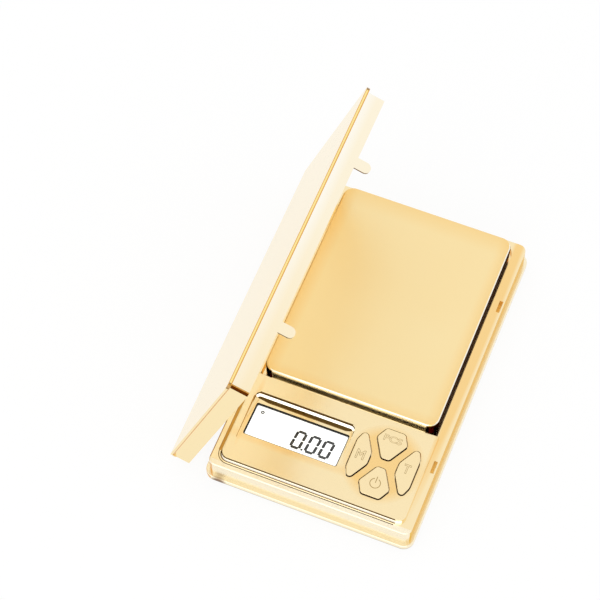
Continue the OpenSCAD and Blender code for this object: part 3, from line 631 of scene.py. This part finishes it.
def recessSide(c, n):
    return (abs(c.x - recess["x0"]) < 0.36 and -50 < c.y < -31.5
            and (n.x > 0.8 or 11.8 < c.z < 11.95))


def slotWall(c, n):
    return (35.3 < c.x < 36.8 and abs(abs(c.y) - hinge["y"]) < 2.6 and 4.5 < c.z < 9.95
            and abs(n.z) < 0.3 and n.y < 0.5)


def keyWall(c, n):
    near = math.dist((c.x, c.y), (cluster["x"], cluster["y"])) < cluster["reach"]
    return near and 10.4 < c.z < 11.99 and abs(n.z) < 0.3


# painted dark shade and reflections on the panel's front edge, its grooves and the cove, and painted
# highlights on the cove and the panel's front wall
accent(topCase, paintedDarkShade, lambda c, n: panelShadeFaces(c, n) or coveShadeFaces(c, n))
accent(topCase, whiteEdge, lambda c, n: inCove(c) and 0.45 < n.z < 0.88)
accent(topCase, ochreShadeLine, lambda c, n: 9.6 < c.z < 9.98 and c.x < -33.8 and -55.2 < c.y < -25)
accent(topCase, deepShadeBrown, lambda c, n: 9.6 < c.z < 9.99 and c.y < -54.8 and 3.75 < fromCorner(c) < 4.2)
accent(topCase, whiteEdge, lambda c, n: 10 < c.z < 11.5 and n.y < -0.4 and c.y < -56 and c.x < 33)
# painted shade along the recess's side, in the gutter, on the right wall, the front left corner walls and the
# key holes, and lighter painted tones on the slots' walls and the front wall
accent(topCase, ochreShadeLine, recessSide)
accent(topCase, deepShadeBrown, inGutter)
accent(topCase, paleHighlightGold, slotWall)
accent(topCase, wallShadeGold, lambda c, n: 2.3 < c.z < 9.4 and n.x > 0.9)
accent(topCase, trayGold, lambda c, n: c.z < 9.5 and abs(n.z) < 0.5 and abs(n.y) > 0.8 and c.y < -60)
accent(topCase, amberShadeLine, lambda c, n: 2.3 < c.z < 9.4 and n.x < -0.3 and n.y < -0.3)
accent(topCase, amberShadeLine, keyWall)
accent(topCase, brownShadeLine, lambda c, n: keyWall(c, n) and n.x > 0.3)
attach(topCase, "base")
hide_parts("top_case")
print("top case made")


# weighing platform

plat = dict(x=32.3, y0=-22.4, y1=59.0, z0=9.2, top=15.0, corner=4.0, edge=1.0, sheet=0.8)
platform = toObject(softBlock((-plat["x"], plat["x"], plat["y0"], plat["y1"], plat["z0"], plat["top"]),
                              plat["corner"], plat["edge"], 0, 14, 6), "platform_soft")
carve(platform, softBlock((-plat["x"] + plat["sheet"], plat["x"] - plat["sheet"],
                           plat["y0"] + plat["sheet"], plat["y1"] - plat["sheet"],
                           8, plat["top"] - plat["sheet"]),
                          plat["corner"] - plat["sheet"], 0, 0, 14))
smooth(platform)
wear(platform, satinGold)
# painted highlights along the platform's front and right top edges, painted dark shade on its front corners,
# and painted shade on its right side
accent(platform, paleHighlightGold, lambda c, n: c.y < -21.3 and n.y < -0.45 and n.z < 0.9 and abs(n.x) < 0.2)
accent(platform, paleHighlightGold, lambda c, n: 0.5 < n.x < 0.85 and n.z > 0.4 and c.x > 28)
accent(platform, paintedDarkShade, lambda c, n: abs(n.x) > 0.1 and abs(c.x) > 28 and n.y < -0.2 and n.z < 0.6)
accent(platform, sideShadeBrown, lambda c, n: n.x > 0.85 and c.x > 30 and c.y > -21.5)
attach(platform, "platform")
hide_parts("platform_tray")
print("platform made")


# cover, built closed and turned open about the hinge

lid = dict(x=38.5, y=62.5, rim=10.15, top=17.7, sheet=1.2, spine=5.5,
           wallX=37.2, wallY0=-61.2, wallY1=61.5, wallIn=0.3, wallCorner=2.0, insideCorner=0.9, floor=5,
           corner=2.5, end=6.0, lip=0.4, shortLip=0.5, brow=0.2, open=71.0,
           strapHalf=6, lugR=1.7, boreR=0.8, boreHalf=7,
           tongueX=(35.95, 36.55), tongueHalf=2.1, tongueZ=(4.55, 16.6), tongueEnd=2.0)
strapProfile = [(-38.49, 11.2), (-38.49, lid["rim"]), (-37.2, hinge["z"]), (-36.0, hinge["z"]),
                (-37.31, lid["rim"]), (-37.31, 11.2)]
opened = (Matrix.Translation((hinge["x"], 0, hinge["z"])) @ Matrix.Rotation(rad(-lid["open"]), 4, "Y")
          @ Matrix.Translation((-hinge["x"], 0, -hinge["z"])))


def spineProfile(inset, x1, z0, steps=14):
    cx, cz, r = -lid["x"] + lid["spine"], lid["top"] - lid["spine"], lid["spine"] - inset
    points = [(x1, z0), (x1, lid["top"] - inset)]
    points += [(cx - r * math.sin(rad(90) * i / steps), cz + r * math.cos(rad(90) * i / steps))
               for i in range(steps + 1)]
    points += [(-lid["x"] + inset, z0)]
    return points


def profileBlock(points, y0, y1):
    bm = bmesh.new()
    face = bm.faces.new([bm.verts.new((x, y0, z)) for x, z in points])
    made = bmesh.ops.extrude_face_region(bm, geom=[face])
    bmesh.ops.translate(bm, vec=(0, y1 - y0, 0),
                        verts=[v for v in made["geom"] if isinstance(v, bmesh.types.BMVert)])
    bmesh.ops.recalc_face_normals(bm, faces=bm.faces)
    return bm


under = lid["top"] - lid["sheet"]
section = [(lid["x"], under + lid["lip"]), (lid["x"], lid["top"] - lid["brow"]),
           (lid["x"] - lid["brow"], lid["top"])]
section += spineProfile(0, lid["x"], under)[2:-1] + [(-lid["x"], lid["rim"])]
inner = [(lid["x"] - lid["lip"], under)] + spineProfile(lid["sheet"], lid["x"], lid["rim"])[2:]
cover = toObject(profileBlock(section + inner[::-1], -lid["y"], lid["y"]), "cover_soft")
half = lid["shortLip"] / math.sqrt(2)
for side in (-1, 1):
    carve(cover, placed(block(-lid["x"] + lid["spine"], 39, -half, half, -half, half),
                        0, side * lid["y"], under, 45, "X"))
wall = profileBlock(spineProfile(lid["wallIn"], lid["wallX"], lid["rim"]), lid["wallY0"], lid["wallY1"])
bevelThese(wall, uprightEdges(wall, keep=lambda p: p.x > 0), lid["wallCorner"], 8)
rim = toObject(wall, "rim")
inside = profileBlock(spineProfile(lid["sheet"], lid["wallX"] - lid["sheet"], lid["floor"]),
                      lid["wallY0"] + lid["sheet"], lid["wallY1"] - lid["sheet"])
bevelThese(inside, uprightEdges(inside, keep=lambda p: p.x > 0), lid["insideCorner"], 6)
carve(rim, inside)
whole = bmesh.new()
whole.from_mesh(rim.data)
bmesh.ops.scale(whole, vec=(1 / mm, 1 / mm, 1 / mm), verts=whole.verts)
discard(rim)
carve(cover, whole, "UNION")


# the tip's two edges that run through the tongue's thickness
def tipEdges(bm):
    return [edge for edge in bm.edges if all(v.co.z < 5 for v in edge.verts)
            and abs(edge.verts[0].co.y - edge.verts[1].co.y) < 1e-4]


for side in (-1, 1):
    y = side * hinge["y"]
    carve(cover, profileBlock(strapProfile, y - lid["strapHalf"], y + lid["strapHalf"]), "UNION")
    for half, radius, how in ((lid["strapHalf"], lid["lugR"], "UNION"),
                              (lid["boreHalf"], lid["boreR"], "DIFFERENCE")):
        carve(cover, placed(rod(0, 0, -half, half, radius), hinge["x"], y, hinge["z"], 90, "X"), how)
    tongue = block(*lid["tongueX"], y - lid["tongueHalf"], y + lid["tongueHalf"], *lid["tongueZ"])
    bevelThese(tongue, tipEdges(tongue), lid["tongueEnd"], 8)
    carve(cover, tongue, "UNION")
outline = softBlock((-lid["x"] - 0.02, lid["x"] + 0.02, -lid["y"] - 0.02, lid["y"] + 0.02, -5, 30),
                    lid["end"], 0, 0, 12, keep=lambda p: p.x < 0)
bevelThese(outline, uprightEdges(outline, keep=lambda p: p.x > 38), lid["corner"], 8)
carve(cover, outline, "INTERSECT")
cover.data.transform(Matrix.Diagonal((1 / mm, 1 / mm, 1 / mm, 1)))
cover.data.transform(opened)
cover.data.transform(Matrix.Diagonal((mm, mm, mm, 1)))
splitFlats(cover)
smooth(cover)
wear(cover, coverGold)
closing = opened.inverted()
closingTurn = closing.to_3x3()


# the test gets the face as it lies with the cover closed
def onCover(test):
    return lambda c, n: test(closing @ c, closingTurn @ n)


def insideFace(c, n):
    sheet = n.z < -0.7 and c.z > 16
    longWall = n.x < -0.7 and 0 < c.x < 36.3 and c.z > 10.2
    shortWall = abs(n.y) > 0.7 and abs(c.y) < 60.1 and c.z > 10.2
    return sheet or longWall or shortWall


# upright bar at the rim's front corner, painted in two tones of shade side by side
def cornerBar(c, n, low, high):
    return n.y < -0.35 and low < n.x < high and -61.3 < c.y < -58 and c.z > 10.2


def lipTip(c, n):
    return n.x > 0.4 and c.x > 36.5 and c.z > 16.55 and abs(c.y) > 60.6


def spineEnd(c, n):
    return c.x < -33 and 0.2 < -n.y < 0.9 and -0.95 < n.x < -0.3 and c.z < 13


def chamfer(c, n):
    return 0.4 < abs(n.z) < 0.9 and c.z > 16 and (n.x > 0.4 or n.y < -0.4)


# painted highlight on the free edge's strip, painted reflection on its lip, a painted glow inside, and
# painted shade and dark reflection lines on the rim's and lip's corners, the chamfers and the spine's end
accent(cover, stripHighlightGold, onCover(lambda c, n: n.x > 0.7 and c.x > 36.5))
accent(cover, deepShadeBrown, onCover(lambda c, n: n.y < -0.3 and c.z < 10.14 and c.x > 35))
accent(cover, lipReflectionGold, onCover(lambda c, n: n.x > 0.7 and c.x > 37 and c.z > 16.6))
accent(cover, brownShadeLine, onCover(lipTip))
accent(cover, insideGlowGold, onCover(insideFace))
accent(cover, amberShadeLine, onCover(chamfer))
accent(cover, ochreShadeLine, onCover(lambda c, n: cornerBar(c, n, 0.78, 0.93)))
accent(cover, sideShadeBrown, onCover(lambda c, n: cornerBar(c, n, 0.35, 0.78)))
accent(cover, amberShadeLine, onCover(lambda c, n: n.z < -0.9 and c.z > 16 and c.y < -61.2))
accent(cover, amberShadeLine, onCover(lambda c, n: n.z < -0.4 and c.z > 16 and n.y < -0.4))
accent(cover, amberShadeLine, onCover(spineEnd))
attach(cover, "cover")
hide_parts("cover")
print("cover made")


# push buttons with their legends

keyLook = dict(flange=0.7, edge=0.34, z0=9.6, flangeTop=10.25, overlap=0.1)
for name, points in keys.items():
    cap = outlineBlock(points, keyLook["flangeTop"] - keyLook["overlap"], cluster["rise"],
                       cluster["round"], 6, keyLook["edge"], 4)
    foot = outlineBlock(grown(points, keyLook["flange"]), keyLook["z0"], keyLook["flangeTop"],
                        cluster["round"] + keyLook["flange"])
    made = toObject(placed(joined(cap, foot), cluster["x"], cluster["y"], 0), name + "_cap")
    smooth(made)
    wear(made, keyGold)
    # painted dark shade on the keys' sides
    accent(made, paintedDarkShade, lambda c, n: abs(n.z) < 0.75 and c.z > 11)
    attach(made, {"button_pieces": "pieces_key", "button_power": "power_key", "button_tare": "tare_key",
                   "button_mode": "mode_key"}[name])
    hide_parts(name)


lettering = dict(offset=0.012, bevel=0.016, lift=0.01, curveSteps=4)


# outlines of letters, stretched to a given width and height on top of a key
def legend(name, text, x, y, width, height, body):
    curve = bpy.data.curves.new(name, "FONT")
    curve.body = text
    curve.size = 1
    curve.resolution_u = lettering["curveSteps"]
    curve.fill_mode = "NONE"
    curve.offset = lettering["offset"]
    curve.bevel_depth = lettering["bevel"]
    curve.bevel_resolution = 1
    source = newObject(name + "_text", curve)
    view = bpy.context.evaluated_depsgraph_get()
    view.update()
    mesh = bpy.data.meshes.new_from_object(source.evaluated_get(view))
    bpy.data.objects.remove(source)
    bpy.data.curves.remove(curve)
    low = Vector((min(v.co.x for v in mesh.vertices), min(v.co.y for v in mesh.vertices)))
    high = Vector((max(v.co.x for v in mesh.vertices), max(v.co.y for v in mesh.vertices)))
    size = high - low
    mesh.transform(Matrix.Translation((-(low.x + high.x) / 2, -(low.y + high.y) / 2, 0)))
    mesh.transform(Matrix.Diagonal((width / size.x * mm, height / size.y * mm, mm, 1)))
    mesh.transform(Matrix.Translation(((cluster["x"] + x) * mm, (cluster["y"] + y) * mm,
                                       (cluster["rise"] + lettering["lift"]) * mm)))
    mesh.name = name
    made = newObject(name, mesh)
    wear(made, engraved)
    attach(made, body)


legend("legend_mode", "M", -8.45, 0.3, 3.1, 3.7, "mode_key")
legend("legend_tare", "T", 8.3, 0.95, 2.5, 3.6, "tare_key")
legend("legend_pieces", "PCS", 0, 9.65, 6.6, 2.5, "pieces_key")

power = dict(x=cluster["x"] + 0.1, y=-8.0, z0=cluster["rise"] - 0.01, z1=cluster["rise"] + 0.03,
             outer=1.95, inner=1.68, barHalf=0.14, barY=(-7.8, -5.4))
bar = block(-power["barHalf"], power["barHalf"], *power["barY"], power["z0"], power["z1"])
loop = rod(0, power["y"], power["z0"], power["z1"], power["outer"])
ringObject = toObject(placed(loop, power["x"], cluster["y"], 0), "legend_power")
carve(ringObject, rod(power["x"], cluster["y"] + power["y"], 12, 13, power["inner"]))
carve(ringObject, block(cluster["x"] - 0.6, cluster["x"] + 0.8,
                        cluster["y"] + power["y"], cluster["y"] - 5.5, 12, 13))
carve(ringObject, placed(bar, power["x"], cluster["y"], 0), "UNION")
wear(ringObject, engraved)
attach(ringObject, "power_key")
print("buttons made")


# display window and its digits

display = dict(paneTint=(0.985, 0.992, 0.99), paneRough=0.03, paneShine=0.03, paneEdge=0.06,
               border=1.02, borderZ=(-0.795, -0.775), borderIn=0.02, glow=0.62,
               shadeRingZ=(-0.75, 0.015), shadeRingHole=(-0.28, -0.06, 0.08, -0.26))


def clearPane():
    made, tree, surface = bareMaterial("clearPane")
    through = tree.nodes.new("ShaderNodeBsdfTransparent")
    through.inputs["Color"].default_value = (*display["paneTint"], 1)
    shine = tree.nodes.new("ShaderNodeBsdfGlossy")
    shine.inputs["Roughness"].default_value = display["paneRough"]
    both = tree.nodes.new("ShaderNodeMixShader")
    both.inputs["Fac"].default_value = display["paneShine"]
    tree.links.new(through.outputs["BSDF"], both.inputs[1])
    tree.links.new(shine.outputs["BSDF"], both.inputs[2])
    tree.links.new(both.outputs["Shader"], surface)
    return made


pane = toObject(windowBlock([0] * 4, -recess["pane"], 0, recess["paneCorner"], display["paneEdge"], 2),
                "window_pane")
smooth(pane)
wear(pane, clearPane())
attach(pane, "base")
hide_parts("lcd_window")

digit = dict(height=7.6, width=4.1, stroke=1.03, gap=0.34, cut=0.22, thick=0.02, lean=0.085,
             low=3.98, level=-1.19, starts=(-13.35, -8.02, -3.02), dot=(-8.62, 4.55), dotR=0.42)


def bar7(x0, y0, x1, y1):
    half = math.hypot(x1 - x0, y1 - y0) / 2 - digit["gap"] / 2
    bm = block(-half, half, -digit["stroke"] / 2, digit["stroke"] / 2, 0, digit["thick"])
    bevelThese(bm, uprightEdges(bm), digit["stroke"] * digit["cut"], 1)
    angle = math.atan2(y1 - y0, x1 - x0)
    return turned(bm, Matrix.Translation(((x0 + x1) / 2, (y0 + y1) / 2, 0))
                  @ Matrix.Rotation(angle, 4, "Z"))


def zero(x, y):
    w, h, s = digit["width"] - digit["stroke"], digit["height"] - digit["stroke"], digit["stroke"] / 2
    corners = [(s, s), (s + w, s), (s + w, s + h / 2), (s + w, s + h), (s, s + h), (s, s + h / 2)]
    bars = []
    for i in range(6):
        (ax, ay), (bx, by) = corners[i], corners[(i + 1) % 6]
        bars.append(bar7(ax, ay, bx, by))
    lean = Matrix.Identity(4)
    lean[0][1] = digit["lean"]
    return turned(joined(*bars), Matrix.Translation((x, y, 0)) @ lean)


unitMark = dict(x=-26.6, y=13.25, outer=0.68, inner=0.26, tailHalf=0.4, tailWide=0.11)
onGlass = slope @ Matrix.Translation((0, 0, digit["level"]))
marks = [zero(x, digit["low"]) for x in digit["starts"]]
marks.append(rod(*digit["dot"], 0, digit["thick"], digit["dotR"], 20))
marks.append(rod(unitMark["x"], unitMark["y"], 0, digit["thick"], unitMark["outer"], 24))
marks.append(placed(block(-unitMark["tailHalf"], unitMark["tailHalf"],
                          -unitMark["tailWide"], unitMark["tailWide"], 0, digit["thick"]),
                    unitMark["x"] + 0.5, unitMark["y"] - 0.62, 0, -45))
segments = toObject(turned(joined(*marks), onGlass), "lcd_segments")
carve(segments, turned(rod(unitMark["x"], unitMark["y"], -1, 1, unitMark["inner"], 24), onGlass))
wear(segments, plain("segmentBlack", dict(color=(0.004, 0.004, 0.004), deep=(0.008, 0.008, 0.008),
                                          scale=400, rough=(0.4, 0.5))))
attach(segments, "base")
# the LCD glows, a painted glow that keeps it white in the cover's shade; the border below shares it
lcdWhite = plain("lcdWhite", dict(color=(0.97, 0.975, 0.97), deep=(0.95, 0.955, 0.95), scale=300,
                                  rough=(0.3, 0.4), bump=0.02, glow=display["glow"]))
dress("lcd_module", lcdWhite)
border = toObject(windowBlock([-display["borderIn"]] * 4, *display["borderZ"], recess["paneCorner"]),
                  "window_border")
carve(border, windowBlock([-display["border"]] * 4, -2, 0))
wear(border, lcdWhite)
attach(border, "base")
# black ring round the pane, wider at the back and left, as painted shade on the window pocket's walls
shadeRing = toObject(windowBlock(gapped, *display["shadeRingZ"], recess["pocketCorner"]), "window_shade_ring")
carve(shadeRing, windowBlock(display["shadeRingHole"], -2, 2, recess["paneCorner"]))
wear(shadeRing, plain("shadeRingBlack", dict(color=(0.006, 0.004, 0.003), deep=(0.01, 0.007, 0.005), scale=900,
                                       rough=(0.4, 0.55), shine=0.1)))
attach(shadeRing, "base")
print("display made")


# battery door with grip grooves

door = dict(x=24.85, y0=32.4, y1=62.4, top=1.2, corner=0.5, edge=0.15,
            tongue=25.65, tongueZ=(0.55, 1.15), gripHalf=8, gripY=62.5, gripStep=1.2, gripDeep=0.3)
doorPiece = toObject(softBlock((-door["x"], door["x"], door["y0"], door["y1"], 0, door["top"]),
                               door["corner"], 0, door["edge"], 4, 2), "battery_door_soft")
carve(doorPiece, block(-door["tongue"], door["tongue"], door["y0"] + 0.2, door["y1"] - 0.9,
                       *door["tongueZ"]), "UNION")
for i in (1, 2, 3):
    carve(doorPiece, block(-door["gripHalf"], door["gripHalf"],
                           door["gripY"] - (2 * i + 1) * door["gripStep"],
                           door["gripY"] - 2 * i * door["gripStep"], below, door["gripDeep"]))
smooth(doorPiece)
wear(doorPiece, trayGold)
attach(doorPiece, "door")
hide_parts("battery_door")
print("battery door made")


# finishes of the pieces that stay as they are

screws = ["carrier_screws", "cell_screws", "overload_screw", "board_screws", "case_screws"]
finishes = (
    ("rubber", ["feet"], dict(color=(0.03, 0.03, 0.03), deep=(0.05, 0.05, 0.05), scale=1500,
                              rough=(0.7, 0.85), bump=0.3)),
    ("steel", screws, dict(color=(0.62, 0.62, 0.64), deep=(0.5, 0.5, 0.53), scale=1800,
                           rough=(0.25, 0.4), metal=1.0, bump=0.15)),
    ("pinSteel", ["hinge_pins"], dict(color=(0.7, 0.7, 0.72), deep=(0.6, 0.6, 0.63), scale=2400,
                                      rough=(0.18, 0.28), metal=1.0)),
    ("cellAluminium", ["load_cell"], dict(color=(0.76, 0.77, 0.79), deep=(0.66, 0.67, 0.7), scale=1600,
                                          rough=(0.3, 0.45), metal=1.0, bump=0.2)),
    ("carrierBlack", ["platform_carrier"], dict(color=(0.03, 0.03, 0.034), deep=(0.05, 0.05, 0.055),
                                                scale=900, rough=(0.5, 0.65), bump=0.25)),
    ("boardGreen", ["circuit_board"], dict(color=(0.015, 0.17, 0.06), deep=(0.02, 0.22, 0.09), scale=500,
                                           rough=(0.25, 0.35), bump=0.15)),
    ("potting", ["controller"], dict(color=(0.01, 0.01, 0.01), deep=(0.02, 0.02, 0.02), scale=700,
                                     rough=(0.25, 0.4))),
    ("switchBlack", ["key_switches"], dict(color=(0.03, 0.03, 0.03), deep=(0.05, 0.05, 0.05), scale=900,
                                           rough=(0.4, 0.55))),
    ("strip", ["lcd_connector"], dict(color=(0.3, 0.3, 0.32), deep=(0.2, 0.2, 0.22), scale=2600,
                                      rough=(0.6, 0.75))),
    ("jacket", ["batteries"], dict(color=(0.05, 0.06, 0.08), deep=(0.08, 0.09, 0.11), scale=600,
                                   rough=(0.25, 0.35), metal=0.6)),
    ("nickel", ["battery_contacts"], dict(color=(0.72, 0.71, 0.67), deep=(0.62, 0.6, 0.56), scale=1500,
                                          rough=(0.2, 0.3), metal=1.0)),
)
for name, nodes, look in finishes:
    finish = plain(name, look)
    for node in nodes:
        dress(node, finish)
print("finishes set")


# floor, light and camera

studio = dict(floorHalf=6, floorZ=-1.02, floorTone=0.94, floorGlow=1.0, floorShare=0.87,
              card=1.7, cardX=(-0.7, 0.9), cardY=-0.9, cardZ=(0.12, 1.1), world=1.0)
floorBm = bmesh.new()
bmesh.ops.create_grid(floorBm, x_segments=1, y_segments=1, size=studio["floorHalf"])
floor = newObject("floor", meshOf(floorBm, "floor"))
floor.location.z = studio["floorZ"] * mm

# the floor is matt for the light but nearly white for the camera and in mirrors
floorLook, tree, surface = bareMaterial("floorLook")
matt = tree.nodes.new("ShaderNodeBsdfDiffuse")
matt.inputs["Color"].default_value = (*[studio["floorTone"]] * 3, 1)
glow = tree.nodes.new("ShaderNodeEmission")
glow.inputs["Strength"].default_value = studio["floorGlow"]
path = tree.nodes.new("ShaderNodeLightPath")
seen = tree.nodes.new("ShaderNodeMath")
seen.operation = "MAXIMUM"
tree.links.new(path.outputs["Is Camera Ray"], seen.inputs[0])
tree.links.new(path.outputs["Is Glossy Ray"], seen.inputs[1])
share = tree.nodes.new("ShaderNodeMath")
share.operation = "MULTIPLY"
share.inputs[1].default_value = studio["floorShare"]
tree.links.new(seen.outputs["Value"], share.inputs[0])
blendFloor = tree.nodes.new("ShaderNodeMixShader")
tree.links.new(share.outputs["Value"], blendFloor.inputs["Fac"])
tree.links.new(matt.outputs["BSDF"], blendFloor.inputs[1])
tree.links.new(glow.outputs["Emission"], blendFloor.inputs[2])
tree.links.new(blendFloor.outputs["Shader"], surface)
floorLook.cycles.emission_sampling = "NONE"
floor.data.materials.append(floorLook)

(x0, x1), (z0, z1) = studio["cardX"], studio["cardZ"]
cardBm = bmesh.new()
cardBm.faces.new([cardBm.verts.new((x, studio["cardY"], z))
                  for x, z in ((x0, z0), (x1, z0), (x1, z1), (x0, z1))])
card = newObject("frontBox", meshOf(cardBm, "frontBox"))
cardLook, tree, surface = bareMaterial("frontBox")
light = tree.nodes.new("ShaderNodeEmission")
light.inputs["Strength"].default_value = studio["card"]
tree.links.new(light.outputs["Emission"], surface)
card.data.materials.append(cardLook)
card.visible_camera = False

world = bpy.data.worlds.new("studio")
scene.world = world
world.use_nodes = True
world.node_tree.nodes["Background"].inputs["Color"].default_value = (1, 1, 1, 1)
world.node_tree.nodes["Background"].inputs["Strength"].default_value = studio["world"]

# camera as fitted to the photo: angles in degrees, focal length and picture in pixels
shot = dict(az=22.1104, el=60.7067, roll=-0.2283, focal=2170.45, tx=-25.254, ty=23.172, dist=776.325,
            sensor=36, picture=600, near=0.01, far=50)
a, e, r = rad(shot["az"]), rad(shot["el"]), rad(shot["roll"])
back = Vector((math.sin(a) * math.cos(e), -math.cos(a) * math.cos(e), math.sin(e)))
right0 = Vector((math.cos(a), math.sin(a), 0))
up0 = back.cross(right0)
right = right0 * math.cos(r) + up0 * math.sin(r)
up = up0 * math.cos(r) - right0 * math.sin(r)
lens = bpy.data.cameras.new("shot")
lens.sensor_width = shot["sensor"]
lens.lens = shot["focal"] * shot["sensor"] / shot["picture"]
lens.clip_start = shot["near"]
lens.clip_end = shot["far"]
camera = newObject("shot", lens)
spot = (right * shot["tx"] + up * shot["ty"] + back * shot["dist"]) * mm
place = Matrix((right, up, back)).transposed().to_4x4()
place.translation = spot
camera.matrix_world = place
scene.camera = camera
scene.view_settings.view_transform = "Standard"
print("floor, light and camera set")
